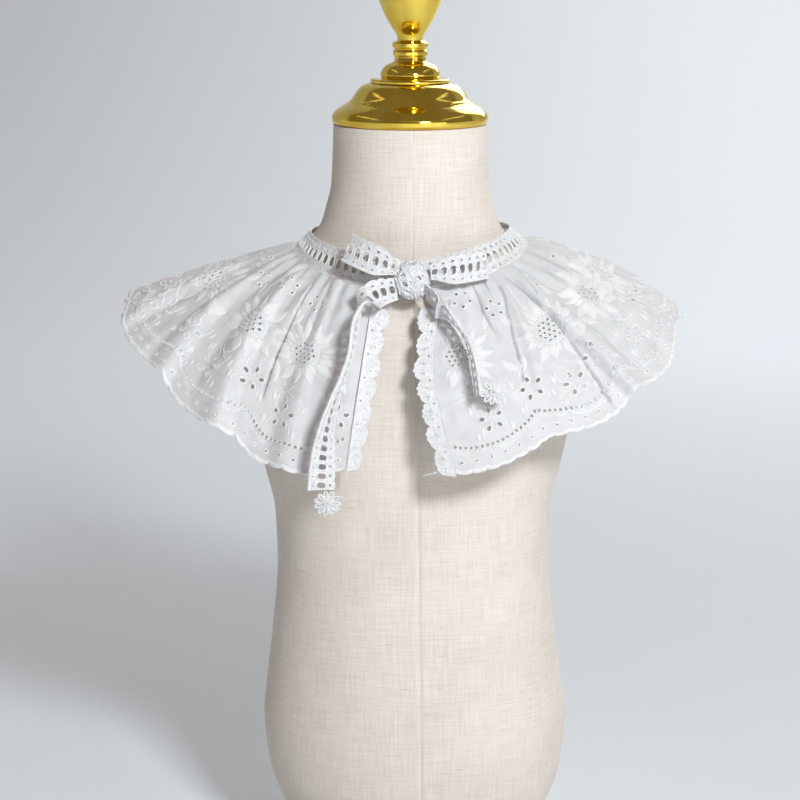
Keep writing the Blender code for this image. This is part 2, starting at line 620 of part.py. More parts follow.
def make_flower(name, middle, material):
    """A small flower of looped petals, hung facing the front."""
    edge = FLOWER_RADIUS * np.tile(PETAL_OUTLINE, FLOWER_PETALS)
    sides = len(edge)
    turn = np.arange(sides) * (2.0 * math.pi / sides)
    rings = []
    for row in FLOWER_RINGS:
        ring = dict(zip(FLOWER_RING_COLUMNS, row))
        radius = edge * ring["radius"]
        away = np.full(sides, -ring["depth"] * FLOWER_THICKNESS)
        rings.append(np.stack([radius * np.cos(turn), away, radius * np.sin(turn)], -1))
    rings = np.array(rings)[::-1] + np.array(middle)
    add_object(name, *stacked_rings(rings), material)


def cape_edge(edge, down):
    """Points on the straight stretches between the rows of the cape's front edge."""
    levels = np.linspace(CAPE_TOP, 1.0, CAPE_ROWS + 1)
    corners = cape_points(np.full_like(levels, edge), levels)
    first = np.clip(np.searchsorted(levels, down, side="right") - 1, 0, CAPE_ROWS - 1)
    part = (down - levels[first]) / (levels[first + 1] - levels[first])
    return corners[first] + (corners[first + 1] - corners[first]) * part[:, None]


def make_trim(name, edge, way, turns, material):
    """A scalloped trim, carried on from the cape's front edge."""
    steps = len(FAN_OUTLINE)
    down = np.linspace(*TRIM_SPAN, steps * TRIM_FANS + 1)
    fans = np.resize(np.array(FAN_OUTLINE), len(down))
    out = np.stack([np.full(len(down), GAP), np.full(len(down), TRIM_STRIP),
                    TRIM_STRIP + TRIM_FAN * fans], -1)
    down_grid = np.repeat(down[:, None], out.shape[1], axis=1)
    edge_grid = np.full_like(down_grid, edge)
    root = cape_edge(edge, down)[:, None, :]
    outward = cape_outward(edge_grid, down_grid)
    beyond = cape_base(edge_grid + way * SHARE_STEP, down_grid)
    sideways = unit(beyond - cape_base(edge_grid, down_grid))
    turn = np.radians(turns[0] + (turns[1] - turns[0]) * down_grid)[..., None]
    flat = np.cos(turn) * sideways - np.sin(turn) * outward
    square = np.cos(turn) * outward + np.sin(turn) * sideways
    inner = root + flat * out[..., None]
    add_object(name, *wall(inner, inner + square * TRIM_THICKNESS), material)


def main():
    """Builds the form and the collar."""
    for old in list(bpy.data.objects):
        bpy.data.objects.remove(old, do_unlink=True)
    linen = finish("linen", (0.72, 0.66, 0.57), 0.9)
    gilt = finish("gilt", (0.80, 0.58, 0.16), 0.15, 1.0)
    cotton = finish("cotton", (0.86, 0.86, 0.87), 0.85)
    lace = finish("lace", (0.88, 0.88, 0.89), 0.85)

    make_torso(linen)
    make_turned("neck_cap", CAP_PROFILE, CAP_SIDES, gilt)
    make_turned("finial", FINIAL_PROFILE, FINIAL_SIDES, gilt)
    make_cape(cotton)
    make_neckband("neckband_right", BAND_ENDS[0], BAND_JOIN[0], lace)
    make_neckband("neckband_left", BAND_ENDS[1], BAND_JOIN[1], lace)
    make_trim("trim_right", 0.0, -1.0, TRIM_TURN_RIGHT, lace)
    make_trim("trim_left", 1.0, 1.0, TRIM_TURN_LEFT, lace)
    make_knot(lace)
    for name, route in LOOP_ROUTES.items():
        make_loop(name, route, lace)
    for name, route in TAIL_ROUTES.items():
        make_tail(name, route, lace)
    for name, middle in FLOWER_MIDDLES.items():
        make_flower(name, middle, lace)


main()
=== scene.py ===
"""Looks of a lace collar tied in a bow on a child's limbless linen dress form.

The cape is a thin pierced cloth, drawn as a flat pattern and mapped to its gathered surface. The
embroidery, the ladder lace of neckband and ties, the crochet trims and the small flowers are joined
meshes made from arrays. Metres, +Z up, front at -Y. Places are measured from the form's upright
axis, which stands at FORM_AXIS.
"""

import logging
import math
from dataclasses import dataclass, field
from enum import Enum
from typing import Callable, NamedTuple, Sequence, Union

import bpy
import numpy as np
from bpy.types import Material, NodeSocket, Object
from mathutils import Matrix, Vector
from mathutils.geometry import delaunay_2d_cdt


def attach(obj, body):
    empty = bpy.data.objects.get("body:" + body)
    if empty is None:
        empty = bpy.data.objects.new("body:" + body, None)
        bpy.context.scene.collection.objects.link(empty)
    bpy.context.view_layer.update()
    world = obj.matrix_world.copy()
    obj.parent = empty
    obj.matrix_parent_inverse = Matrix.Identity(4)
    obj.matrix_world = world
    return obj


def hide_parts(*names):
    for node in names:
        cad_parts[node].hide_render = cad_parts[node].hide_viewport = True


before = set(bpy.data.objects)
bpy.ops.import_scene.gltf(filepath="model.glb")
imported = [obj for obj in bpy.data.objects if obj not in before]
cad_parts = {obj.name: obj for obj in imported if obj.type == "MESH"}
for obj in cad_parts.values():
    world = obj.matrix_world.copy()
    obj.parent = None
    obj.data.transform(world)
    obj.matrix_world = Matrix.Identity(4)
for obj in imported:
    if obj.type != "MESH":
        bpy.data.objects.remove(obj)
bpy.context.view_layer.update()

LOG = logging.getLogger("collar")
Array = np.ndarray
Colour = tuple[float, float, float]
Triple = tuple[float, float, float]
Pair = tuple[float, float]

FORM_AXIS = np.array((0.0039, -0.0057, 0.0))
LACE_WIDTH = 0.0155
MERGE_WITHIN = 1e-7
SHARP_FROM = 50.0


class Slot(Enum):
    """The part's material slots."""

    LINEN = "linen"
    GILT = "gilt"
    COTTON = "cotton"
    LACE = "lace"


def ease(amount: Array) -> Array:
    """0 below 0, 1 above 1, and a soft step between."""
    amount = np.clip(amount, 0.0, 1.0)
    return amount * amount * (3.0 - 2.0 * amount)


def unit(vectors: Array) -> Array:
    """The vectors at length one."""
    return vectors / np.maximum(np.linalg.norm(vectors, axis=-1, keepdims=True), 1e-12)


def smooth(known_at: Sequence[float], known: Sequence[float], at: Array) -> Array:
    """A smooth curve through known values that never runs past them.

    Args:
        known_at: where the values are known, in rising order.
        known: the values there.
        at: where the curve is wanted.

    Returns:
        The curve's values, Hermite pieces whose slopes are harmonic means.
    """
    known_at, known = np.asarray(known_at, dtype=float), np.asarray(known, dtype=float)
    steps = np.diff(known_at)
    slopes = np.diff(known) / steps
    near, far = slopes[:-1], slopes[1:]
    same_way = near * far > 0.0
    blend = np.where(same_way, near + far, 1.0)
    middle = np.where(same_way, 2.0 * near * far / blend, 0.0)
    slope = np.concatenate(([slopes[0]], middle, [slopes[-1]]))
    at = np.clip(np.asarray(at, dtype=float), known_at[0], known_at[-1])
    first = np.clip(np.searchsorted(known_at, at, side="right") - 1, 0, len(steps) - 1)
    part = (at - known_at[first]) / steps[first]
    rest = 1.0 - part
    return (known[first] * (1.0 + 2.0 * part) * rest**2
        + known[first + 1] * part**2 * (3.0 - 2.0 * part)
        + steps[first] * (slope[first] * part * rest**2 - slope[first + 1] * part**2 * rest))


def bent(share: Array, power: Array) -> Array:
    """A power that keeps its number's sign."""
    return np.sign(share) * np.abs(share) ** power


def ring_place(angle: Array, half_width: Array, depth: Array,
        roundness: Array) -> tuple[Array, Array]:
    """A point of a rounded ring: x = w sign(sin) |sin|^(2/r), y = -d sign(cos) |cos|^(2/r).

    Args:
        angle: degrees from the front, toward +X.
        half_width: w.
        depth: d.
        roundness: r, 2 for an oval and more for a squarer ring.

    Returns:
        x and y.
    """
    turn = np.radians(angle)
    return (half_width * bent(np.sin(turn), 2.0 / roundness),
        -depth * bent(np.cos(turn), 2.0 / roundness))


def measured(line: Array) -> Array:
    """The way from a line's first point to each of its points."""
    return np.concatenate(([0.0], np.cumsum(np.linalg.norm(np.diff(line, axis=0), axis=1))))


def linked(name: str, data: bpy.types.ID) -> Object:
    """A new object of some data, at the origin of the scene."""
    made = bpy.data.objects.new(name, data)
    bpy.context.scene.collection.objects.link(made)
    return made


def from_front(angle: Array) -> Array:
    """How far an angle is from the front, 0 to 180, on either side."""
    return np.abs((angle + 180.0) % 360.0 - 180.0)


# Meshes


@dataclass
class Shape:
    """Points and faces of closed bodies.

    Attributes:
        points: places from the form's axis, one row each.
        faces: index arrays of three or four columns.
        uv: flat place of each point, in metres.
    """

    points: Array
    faces: list[Array]
    uv: Array

    @classmethod
    def joined(cls, shapes: Sequence["Shape"]) -> "Shape":
        """One shape of several."""
        starts = np.cumsum([0] + [len(shape.points) for shape in shapes])
        faces = [rows + start for shape, start in zip(shapes, starts) for rows in shape.faces]
        return cls(np.concatenate([shape.points for shape in shapes]), faces,
            np.concatenate([shape.uv for shape in shapes]))

    def volume(self) -> float:
        """The signed volume, positive where faces look outward."""
        total = 0.0
        for rows in self.faces:
            for second in range(1, rows.shape[1] - 1):
                a, b, c = (self.points[rows[:, corner]] for corner in (0, second, second + 1))
                total += float(np.einsum("ij,ij->i", a, np.cross(b, c)).sum()) / 6.0
        return total

    def facing_out(self) -> "Shape":
        """The same shape with its faces turned to look outward."""
        if self.volume() < 0.0:
            self.faces = [rows[:, ::-1] for rows in self.faces]
        return self

    def build(self, name: str, material: Material) -> Object:
        """A smooth object of the shape, its place in the mesh.

        Args:
            name: the object's name.
            material: its one material.

        Returns:
            The object, linked to the scene at the origin.
        """
        corners = np.concatenate([rows.ravel() for rows in self.faces]).astype(np.int32)
        totals = np.concatenate([np.full(len(rows), rows.shape[1]) for rows in self.faces])
        totals = totals.astype(np.int32)
        starts = (np.cumsum(totals) - totals).astype(np.int32)
        mesh = bpy.data.meshes.new(name)
        mesh.vertices.add(len(self.points))
        mesh.vertices.foreach_set("co", (self.points + FORM_AXIS).astype(np.float32).ravel())
        mesh.loops.add(len(corners))
        mesh.loops.foreach_set("vertex_index", corners)
        mesh.polygons.add(len(totals))
        mesh.polygons.foreach_set("loop_start", starts)
        mesh.update(calc_edges=True)
        layer = mesh.uv_layers.new(name="flat")
        layer.data.foreach_set("uv", self.uv[corners].astype(np.float32).ravel())
        mesh.materials.append(material)
        mesh.shade_smooth()
        mesh.set_sharp_from_angle(angle=math.radians(SHARP_FROM))
        triangles = int((totals - 2).sum())
        LOG.info("%s: %d points, %d triangles", name, len(self.points), triangles)
        return linked(name, mesh)


def loft(rings: Array, closed: bool = False, uv: Array | None = None) -> Shape:
    """Closed bodies of rings.

    Args:
        rings: bodies, rings along each, points round each ring, xyz.
        closed: whether the last ring joins the first, as in a hoop. If not, each end is closed
            by a fan to its middle.
        uv: flat place of each ring's points, or None for shares along and around.

    Returns:
        The bodies as one shape with its faces outward.
    """
    bodies, count, sides, _ = rings.shape
    if uv is None:
        along, around = np.meshgrid(np.linspace(0, 1, count), np.linspace(0, 1, sides),
            indexing="ij")
        uv = np.broadcast_to(np.stack([along, around], -1), (bodies, count, sides, 2))
    number = np.arange(bodies * count * sides).reshape(bodies, count, sides)
    ahead = np.roll(number, -1, axis=1) if closed else number[:, 1:]
    here = number if closed else number[:, :-1]
    beside = np.roll(here, -1, axis=2)
    beyond = np.roll(ahead, -1, axis=2)
    faces = [np.stack([here, beside, beyond, ahead], -1).reshape(-1, 4)]
    points, flat = rings.reshape(-1, 3), uv.reshape(-1, 2)
    if not closed:
        for end, flip in ((0, True), (-1, False)):
            ring = number[:, end]
            middle = len(points) + np.arange(bodies)[:, None] + np.zeros_like(ring)
            points = np.concatenate([points, rings[:, end].mean(axis=1)])
            flat = np.concatenate([flat, uv[:, end].mean(axis=1)])
            fan = np.stack([ring, np.roll(ring, -1, axis=1), middle], -1).reshape(-1, 3)
            faces.append(fan[:, ::-1] if flip else fan)
    return Shape(points, faces, flat).facing_out()


def shell(inner: Array, outer: Array, triangles: Array, uv: Array) -> Shape:
    """A thin wall between two sheets of the same triangles, closed along every free edge.

    Args:
        inner: points of the sheet on the form's side.
        outer: points of the sheet on the far side.
        triangles: index rows of both.
        uv: flat place of each point.

    Returns:
        The wall with its faces outward.
    """
    count = len(inner)
    edges = np.concatenate([triangles[:, (0, 1)], triangles[:, (1, 2)], triangles[:, (2, 0)]])
    key = np.sort(edges, axis=1)
    _, first, uses = np.unique(key, axis=0, return_index=True, return_counts=True)
    free = edges[first[uses == 1]]
    rim = np.stack([free[:, 1], free[:, 0], free[:, 0] + count, free[:, 1] + count], -1)
    shape = Shape(np.concatenate([inner, outer]), [triangles + count, triangles[:, ::-1], rim],
        np.concatenate([uv, uv]))
    return shape.facing_out()


def pierced(outline: Array, holes: Sequence[Array], inside: Array) -> tuple[Array, Array]:
    """Triangles of a flat sheet inside its outline and outside its holes.

    Args:
        outline: the sheet's edge, a closed ring of xy rows.
        holes: closed rings of xy rows.
        inside: further points of the sheet.

    Returns:
        The sheet's points and its triangles.
    """
    rings = [outline, *holes]
    starts = np.cumsum([0] + [len(ring) for ring in rings])
    loops = [list(range(start, start + len(ring))) for start, ring in zip(starts, rings)]
    flat = np.concatenate(rings + [inside])
    found = delaunay_2d_cdt([Vector(row) for row in flat.tolist()], [], loops, 0, MERGE_WITHIN)
    owners = np.fromiter(map(len, found[5]), dtype=int, count=len(found[5]))
    triangles = np.array(found[2])[owners == 1]
    points = np.array([tuple(point) for point in found[0]])
    used, places = np.unique(triangles, return_inverse=True)
    return points[used], places.reshape(-1, 3)


def oval(count: int) -> tuple[Array, Array]:
    """Cosines and sines of equal turns."""
    turn = np.arange(count) * (2.0 * math.pi / count)
    return np.cos(turn), np.sin(turn)


# Shader nodes

Value = Union["Socket", float]


class Socket:
    """A number from a node, with arithmetic that adds Math nodes."""

    def __init__(self, graph: "Graph", socket: NodeSocket) -> None:
        """Holds an output socket and the graph that it belongs to."""
        self.graph = graph
        self.socket = socket

    def __add__(self, other: Value) -> "Socket":
        """Sum."""
        return self.graph.math("ADD", self, other)

    def __sub__(self, other: Value) -> "Socket":
        """Difference."""
        return self.graph.math("SUBTRACT", self, other)

    def __rsub__(self, other: Value) -> "Socket":
        """Difference."""
        return self.graph.math("SUBTRACT", other, self)

    def __mul__(self, other: Value) -> "Socket":
        """Product."""
        return self.graph.math("MULTIPLY", self, other)

    __radd__ = __add__
    __rmul__ = __mul__

    def sine(self) -> "Socket":
        """Sine of the number in radians."""
        return self.graph.math("SINE", self)

    def size(self) -> "Socket":
        """The number without its sign."""
        return self.graph.math("ABSOLUTE", self)

    def at_least(self, other: Value) -> "Socket":
        """The larger of two."""
        return self.graph.math("MAXIMUM", self, other)

    def step(self, low: float, high: float) -> "Socket":
        """A soft step from 0 at low to 1 at high."""
        return self.graph.node("ShaderNodeMapRange", {"interpolation_type": "SMOOTHSTEP"},
            {"Value": self, "From Min": low, "From Max": high})


class Graph:
    """The nodes of one material, around its Principled shader."""

    def __init__(self, name: str) -> None:
        """Starts a material of that name."""
        self.material = bpy.data.materials.new(name)
        self.material.use_nodes = True
        self.tree = self.material.node_tree
        self.shader = self.tree.nodes["Principled BSDF"]

    def node(self, kind: str, settings: dict | None = None, inputs: dict | None = None,
            output: int | str = 0) -> Socket:
        """Adds a node.

        Args:
            kind: the node's type.
            settings: its properties, set first.
            inputs: values or sockets by input name or number.
            output: which output is returned.

        Returns:
            The output socket.
        """
        made = self.tree.nodes.new(kind)
        for name, value in (settings or {}).items():
            setattr(made, name, value)
        for name, value in (inputs or {}).items():
            self.feed(made.inputs[name], value)
        return Socket(self, made.outputs[output])

    def feed(self, target: NodeSocket, value: "Value | Sequence[float]") -> None:
        """Links a socket to an input, or sets the input's value."""
        if isinstance(value, Socket):
            self.tree.links.new(value.socket, target)
        else:
            target.default_value = value

    def math(self, operation: str, *values: Value) -> Socket:
        """A Math node."""
        return self.node("ShaderNodeMath", {"operation": operation}, dict(enumerate(values)))

    def mix(self, share: Value, first: "Colour | Socket", second: "Colour | Socket") -> Socket:
        """A colour between two."""
        feeds = {0: share}
        for place, colour in ((6, first), (7, second)):
            feeds[place] = colour if isinstance(colour, Socket) else (*colour, 1.0)
        return self.node("ShaderNodeMix", {"data_type": "RGBA"}, feeds, 2)

    def flat(self) -> tuple[Socket, Socket]:
        """The flat place in metres, from the mesh's UV layer."""
        place = self.node("ShaderNodeUVMap", {"uv_map": "flat"})
        parts = self.node("ShaderNodeSeparateXYZ", None, {0: place})
        return parts, Socket(self, parts.socket.node.outputs[1])

    def place(self) -> Socket:
        """Object coordinates."""
        return self.node("ShaderNodeTexCoord", None, None, "Object")

    def noise(self, vector: Socket, scale: float, detail: float = 2.0) -> Socket:
        """Soft noise, about 0 to 1."""
        return self.node("ShaderNodeTexNoise", None,
            {"Vector": vector, "Scale": scale, "Detail": detail})

    def joined(self, x: Value, y: Value, z: Value = 0.0) -> Socket:
        """A vector of three numbers."""
        return self.node("ShaderNodeCombineXYZ", None, {0: x, 1: y, 2: z})

    def bump(self, height: Socket, distance: float, strength: float = 1.0) -> None:
        """Feeds a height in 0 to 1, times a distance in metres, to the shader's normal."""
        normal = self.node("ShaderNodeBump", None,
            {"Height": height, "Distance": distance, "Strength": strength})
        self.feed(self.shader.inputs["Normal"], normal)

    def set(self, **values: "Value | Sequence[float]") -> None:
        """Feeds the shader's inputs by name, with _ for each space."""
        for name, value in values.items():
            self.feed(self.shader.inputs[name.replace("_", " ")], value)


@dataclass(frozen=True)
class Linen:
    """Plain-woven linen with slubs, over the padded form."""

    light: Colour = (0.8, 0.75, 0.7)
    dark: Colour = (0.65, 0.58, 0.51)
    fleck: Colour = (0.3, 0.215, 0.15)
    thread: float = 0.00062
    roughness: float = 0.92

    def material(self) -> Material:
        """Threads both ways as noise drawn out along each, with darker slubs and a fine weave."""
        graph = Graph("linen")
        u, v = graph.flat()
        wave = 2.0 * math.pi / self.thread
        warp, weft = ((side * wave).sine() * 0.5 + 0.5 for side in (u, v))
        along_v = graph.noise(graph.joined(u * 900.0, v * 45.0), 1.0, 3.0)
        along_u = graph.noise(graph.joined(u * 45.0, v * 900.0, 7.0), 1.0, 3.0)
        cloudy = graph.noise(graph.joined(u * 26.0, v * 26.0, 3.0), 1.0, 4.0)
        threads = (along_u + along_v) * 0.5
        slub_u = graph.noise(graph.joined(u * 110.0, v * 1250.0, 17.0), 1.0, 1.0).step(0.69, 0.8)
        slub_v = graph.noise(graph.joined(u * 1250.0, v * 110.0, 29.0), 1.0, 1.0).step(0.72, 0.82)
        slubs = slub_u.at_least(slub_v)
        tone = (threads * 1.6 + cloudy * 0.5 - 0.55).step(0.05, 0.95)
        ground = graph.mix(tone, self.dark, self.light)
        graph.set(Base_Color=graph.mix(slubs * 0.42, ground, self.fleck), Roughness=self.roughness,
            Sheen_Weight=0.08)
        height = warp * 0.25 + weft * 0.25 + threads * 0.5
        graph.bump(height, 0.00022, 0.7)
        return graph.material


@dataclass(frozen=True)
class Gilt:
    """Polished gold plate, faintly uneven."""

    colour: Colour = (1.0, 0.77, 0.15)
    deep: Colour = (0.88, 0.6, 0.08)
    roughness: float = 0.055

    def material(self) -> Material:
        """Metal whose gloss and colour vary softly, with faint turning marks."""
        graph = Graph("gilt")
        place = graph.place()
        cloudy = graph.noise(place, 60.0, 3.0)
        _, height = graph.flat()
        marks = (height * 9000.0).sine() * 0.5 + 0.5
        graph.set(Base_Color=graph.mix(cloudy.step(0.3, 0.8), self.deep, self.colour), Metallic=1.0,
            Roughness=cloudy * 0.06 + self.roughness)
        graph.bump(marks * 0.3 + cloudy, 0.00003, 0.25)
        return graph.material


@dataclass(frozen=True)
class Cotton:
    """Fine white cotton lawn."""

    white: Colour = (0.695, 0.695, 0.712)
    # The darker colour: partly random tone, partly painted shade in the hollows of the soft
    # creases.
    shade: Colour = (0.61, 0.612, 0.632)
    thread: float = 0.00042

    def material(self) -> Material:
        """A fine plain weave with uneven threads and soft creases, whose hollows are given painted
        shade.
        """
        graph = Graph("cotton")
        u, v = graph.flat()
        wave = 2.0 * math.pi / self.thread
        weave = (u * wave).sine() * (v * wave).sine() * 0.5 + 0.5
        place = graph.place()
        crumple = graph.noise(place, 95.0, 4.0)
        threads = graph.noise(graph.joined(u * 150.0, v * 2200.0), 1.0, 2.0)
        # Painted shade: the colour darkens where the crumple noise is low, which is where the same
        # noise sinks the bump into the creases' hollows; the threads' share is random tone.
        tone = (crumple + threads * 0.4 - 0.2).step(0.25, 0.8)
        graph.set(Base_Color=graph.mix(tone, self.shade, self.white), Roughness=0.88,
            Sheen_Weight=0.12, Subsurface_Weight=0.12, Subsurface_Scale=0.0015)
        graph.bump(weave * 0.12 + threads * 0.2 + crumple * 0.9, 0.0007, 0.55)
        return graph.material


@dataclass(frozen=True)
class Thread:
    """Glossier white sewing and crochet thread, in fine strands."""

    name: str = "thread"
    white: Colour = (0.81, 0.81, 0.82)
    shade: Colour = (0.64, 0.642, 0.665)
    strands: float = 1.0

    def material(self) -> Material:
        """Strands as fine noise in object space, with coarser clumps."""
        graph = Graph(self.name)
        place = graph.place()
        fine = graph.noise(place, 2600.0, 2.0)
        clumps = graph.noise(place, 420.0, 2.0)
        tone = (fine * 0.5 + clumps * 0.5).step(0.32, 0.62)
        graph.set(Base_Color=graph.mix(tone, self.shade, self.white), Roughness=0.62,
            Sheen_Weight=0.2, Subsurface_Weight=0.1, Subsurface_Scale=0.001)
        graph.bump(fine * 0.6 * self.strands + clumps * 0.7, 0.00035, 0.8)
        return graph.material


@dataclass(frozen=True)
class Satin:
    """Flat satin stitch, threads laid side by side across each leaf."""

    white: Colour = (0.8, 0.8, 0.81)
    shade: Colour = (0.68, 0.682, 0.7)
    thread: float = 0.00055

    def material(self) -> Material:
        """Threads as ripples along the leaf's length, which the flat place gives in metres."""
        graph = Graph("satin")
        u, v = graph.flat()
        wobble = graph.noise(graph.place(), 300.0, 2.0)
        lines = (u * (2.0 * math.pi / self.thread) + wobble * 5.0 + v.size() * 900.0).sine()
        lines = lines * 0.5 + 0.5
        graph.set(Base_Color=graph.mix(lines.step(0.0, 0.7), self.shade, self.white), Roughness=0.5,
            Sheen_Weight=0.15)
        graph.bump(lines * 0.7 + wobble * 0.3, 0.0002, 0.7)
        return graph.material


@dataclass(frozen=True)
class Plain:
    """A plain matt surface for floor and wall."""

    name: str
    colour: Colour

    def material(self) -> Material:
        """One colour, barely clouded."""
        graph = Graph(self.name)
        cloudy = graph.noise(graph.place(), 3.0, 2.0)
        dim = tuple(part * 0.985 for part in self.colour)
        graph.set(Base_Color=graph.mix(cloudy, dim, self.colour), Roughness=0.95)
        return graph.material


# The cape's surface


class Fold(NamedTuple):
    """A rounded ridge: crest angles at seam and hem, its stretch, size and lean."""

    seam_angle: float
    hem_angle: float
    start: float
    end: float
    width: float
    height: float
    lean: float


class Crease(NamedTuple):
    """A soft trough or ridge: its ends as shares around and down, half width and height."""

    around: float
    down: float
    to_around: float
    to_down: float
    width: float
    height: float


@dataclass
class CapeSurface:
    """The gathered cloth, by a share around and a share down.

    Around runs from 0 at the right front edge to 1 at the left, down from 0 at the seam to 1.
    """

    seam_half_width: float = 0.07
    seam_depths: Pair = (0.065, 0.062)
    seam_angles: Pair = (8.6, 342.8)
    seam_heights: tuple = ((0, 0.3585), (30, 0.3625), (60, 0.3695), (90, 0.3757), (135, 0.3745),
        (180, 0.3745))
    seam_tilt: float = 0.0015
    hem_half_widths: Pair = (0.161, 0.1712)
    hem_depths: Pair = (0.105, 0.125)
    hem_roundness: float = 2.2
    hem_angles: Pair = (7.6, 349.2)
    hem_heights: tuple = (
        (0, 0.2575), (7, 0.2585), (14, 0.2642), (21, 0.271), (27.5, 0.2768), (33, 0.2825),
        (40, 0.2867), (47.5, 0.2925), (53, 0.299), (60, 0.306), (67, 0.312), (73, 0.321),
        (80, 0.3275), (90, 0.331), (107, 0.333), (140, 0.318), (180, 0.293), (220, 0.32),
        (253, 0.339), (268, 0.34), (279, 0.334), (285, 0.328), (295, 0.319), (302, 0.309),
        (309, 0.298), (314, 0.2925), (319, 0.2845), (325, 0.2765), (331, 0.2665), (334, 0.2652),
        (339, 0.2618), (343, 0.2602), (360, 0.26))
    seam_length: float = 0.4
    hem_length: float = 0.98
    slant: float = 0.11
    cusps: tuple[float, ...] = (5.5, 27.5, 51.5, 80, 108, 133.5, 155.5, 176, 196.5, 218, 244, 273,
        303.5, 325.5, 350)
    scallop_depth: float = 0.0055
    lobe_fullness: float = 0.8
    lobe_middle: float = 0.6
    bulge_mean: float = 0.004
    bulge_right: float = 0.003
    edge_bow: tuple = ((0.0, 0.0), (0.17, 0.002), (0.3, -0.0012), (0.45, -0.0042),
        (0.7, -0.0035), (1.0, 0.0))
    edge_bow_reach: float = 0.045
    gathers: int = 41
    gather_heights: tuple = ((0.0, 0.0007), (0.07, 0.0021), (0.25, 0.0018), (0.55, 0.0006),
        (0.85, 0.0))
    gather_unevenness: float = 0.25
    uneven_turns: Pair = (23.0, 61.0)
    gather_reach: float = 0.35
    reach_turns: float = 37.0
    wave_height: float = 0.0026
    wave_mean: float = 0.5
    waves: tuple = ((9, 0.3, 0.7), (5, 0.2, 2.1))
    fold_at_seam: float = 0.45
    fold_full_at: float = 0.8
    fold_fades: Pair = (0.22, 0.3)
    folds: tuple[Fold, ...] = tuple(Fold(*row) for row in (
        (33, 22, 0.02, 0.5, 0.006, 0.0026, 0.2), (41, 27, 0.05, 0.85, 0.007, 0.0034, 0.35),
        (47.5, 51, 0, 1.6, 0.012, 0.0072, 0.55), (59, 66, 0, 0.6, 0.007, 0.003, 0.1),
        (77, 79, 0, 0.55, 0.008, 0.003, -0.2), (92, 96, 0.1, 1.6, 0.013, 0.0034, 0.2),
        (112, 115, 0, 1.1, 0.011, 0.0036, -0.4), (131, 136, 0.05, 1.6, 0.014, 0.0056, 0.3),
        (152, 150, 0, 0.8, 0.009, 0.0036, 0.1), (170, 171, 0, 1.6, 0.015, 0.006, -0.35),
        (191, 196, 0.08, 1.2, 0.012, 0.0046, 0.25), (212, 213, 0, 1.6, 0.012, 0.0062, 0.4),
        (233, 238, 0, 0.9, 0.01, 0.004, -0.1), (252, 258, 0.05, 1.6, 0.014, 0.004, -0.3),
        (268, 281, 0, 1.15, 0.011, 0.0038, 0.15), (283, 303, 0, 1.6, 0.013, 0.0048, -0.25),
        (301, 322, 0, 1.6, 0.017, 0.0078, -0.45), (325, 338, 0, 1.6, 0.01, 0.0048, -0.35)))
    creases: tuple[Crease, ...] = tuple(Crease(*row) for row in (
        (0.108, 0.06, 0.117, 0.36, 0.00065, -0.003), (0.117, 0.36, 0.109, 0.97, 0.0009, -0.004),
        (0.103, 0.1, 0.111, 0.36, 0.0026, 0.0007), (0.111, 0.36, 0.103, 0.9, 0.0034, 0.0011),
        (0.092, 0.08, 0.078, 0.26, 0.0006, -0.0025), (0.078, 0.26, 0.06, 0.66, 0.0006, -0.0025),
        (0.059, 0.03, 0.052, 0.2, 0.0006, -0.0022), (0.052, 0.2, 0.057, 0.33, 0.00055, -0.002),
        (0.078, 0.02, 0.07, 0.16, 0.0006, -0.0021), (0.139, 0.01, 0.121, 0.25, 0.0006, -0.0023),
        (0.181, 0.01, 0.178, 0.16, 0.0018, -0.0011), (0.912, 0.1, 0.921, 0.36, 0.00065, -0.0028),
        (0.921, 0.36, 0.933, 0.74, 0.0008, -0.0034), (0.88, 0.02, 0.868, 0.22, 0.0015, -0.001),
        (0.935, 0.02, 0.945, 0.4, 0.0016, -0.0012), (0.82, 0.02, 0.806, 0.34, 0.0018, -0.0011),
        (0.76, 0.04, 0.752, 0.5, 0.002, -0.0012), (0.69, 0.02, 0.682, 0.62, 0.0022, -0.0014),
        (0.61, 0.03, 0.622, 0.4, 0.0018, -0.0012), (0.54, 0.02, 0.531, 0.7, 0.0024, -0.0015),
        (0.47, 0.04, 0.478, 0.45, 0.0018, -0.0012), (0.39, 0.02, 0.384, 0.66, 0.0022, -0.0014),
        (0.31, 0.03, 0.318, 0.48, 0.0018, -0.0012), (0.245, 0.02, 0.236, 0.55, 0.002, -0.0013)))
    crease_fade: float = 0.05
    ripple_height: float = 0.00035
    ripples: tuple = (((311.0, 9.0), (97.0, -21.0), 0.0), ((173.0, 33.0), (41.0, 17.0), 1.7))
    probe: float = 0.002
    middle_lift: float = 0.00075

    def seam(self, angle: Array) -> Array:
        """The ring where the cape hangs from the neckband.

        Args:
            angle: degrees from the front.

        Returns:
            Places from the form's axis.
        """
        depth = np.where(np.cos(np.radians(angle)) > 0.0, *self.seam_depths)
        x, y = ring_place(angle, self.seam_half_width, depth, 2.0)
        z = smooth(*zip(*self.seam_heights), from_front(angle))
        return np.stack([x, y, z + self.seam_tilt * np.sin(np.radians(angle))], -1)

    def hem(self, angle: Array) -> Array:
        """The hem's ring, without its scallops.

        Args:
            angle: degrees from the front.

        Returns:
            Places from the form's axis.
        """
        turn = np.radians(angle)
        half_width = np.where(np.sin(turn) > 0.0, *self.hem_half_widths)
        depth = np.where(np.cos(turn) > 0.0, *self.hem_depths)
        x, y = ring_place(angle, half_width, depth, self.hem_roundness)
        return np.stack([x, y, smooth(*zip(*self.hem_heights), angle % 360.0)], -1)

    def girth(self, down: Array) -> Array:
        """The cloth's length round the form."""
        return self.seam_length + (self.hem_length - self.seam_length) * down

    def hem_angle(self, around: Array) -> Array:
        """The angle at the hem of a share around."""
        return self.hem_angles[0] + (self.hem_angles[1] - self.hem_angles[0]) * around

    def lobe(self, around: Array) -> Array:
        """How many scallops a share around is from the first cusp."""
        return np.interp(self.hem_angle(around), self.cusps, np.arange(len(self.cusps)))

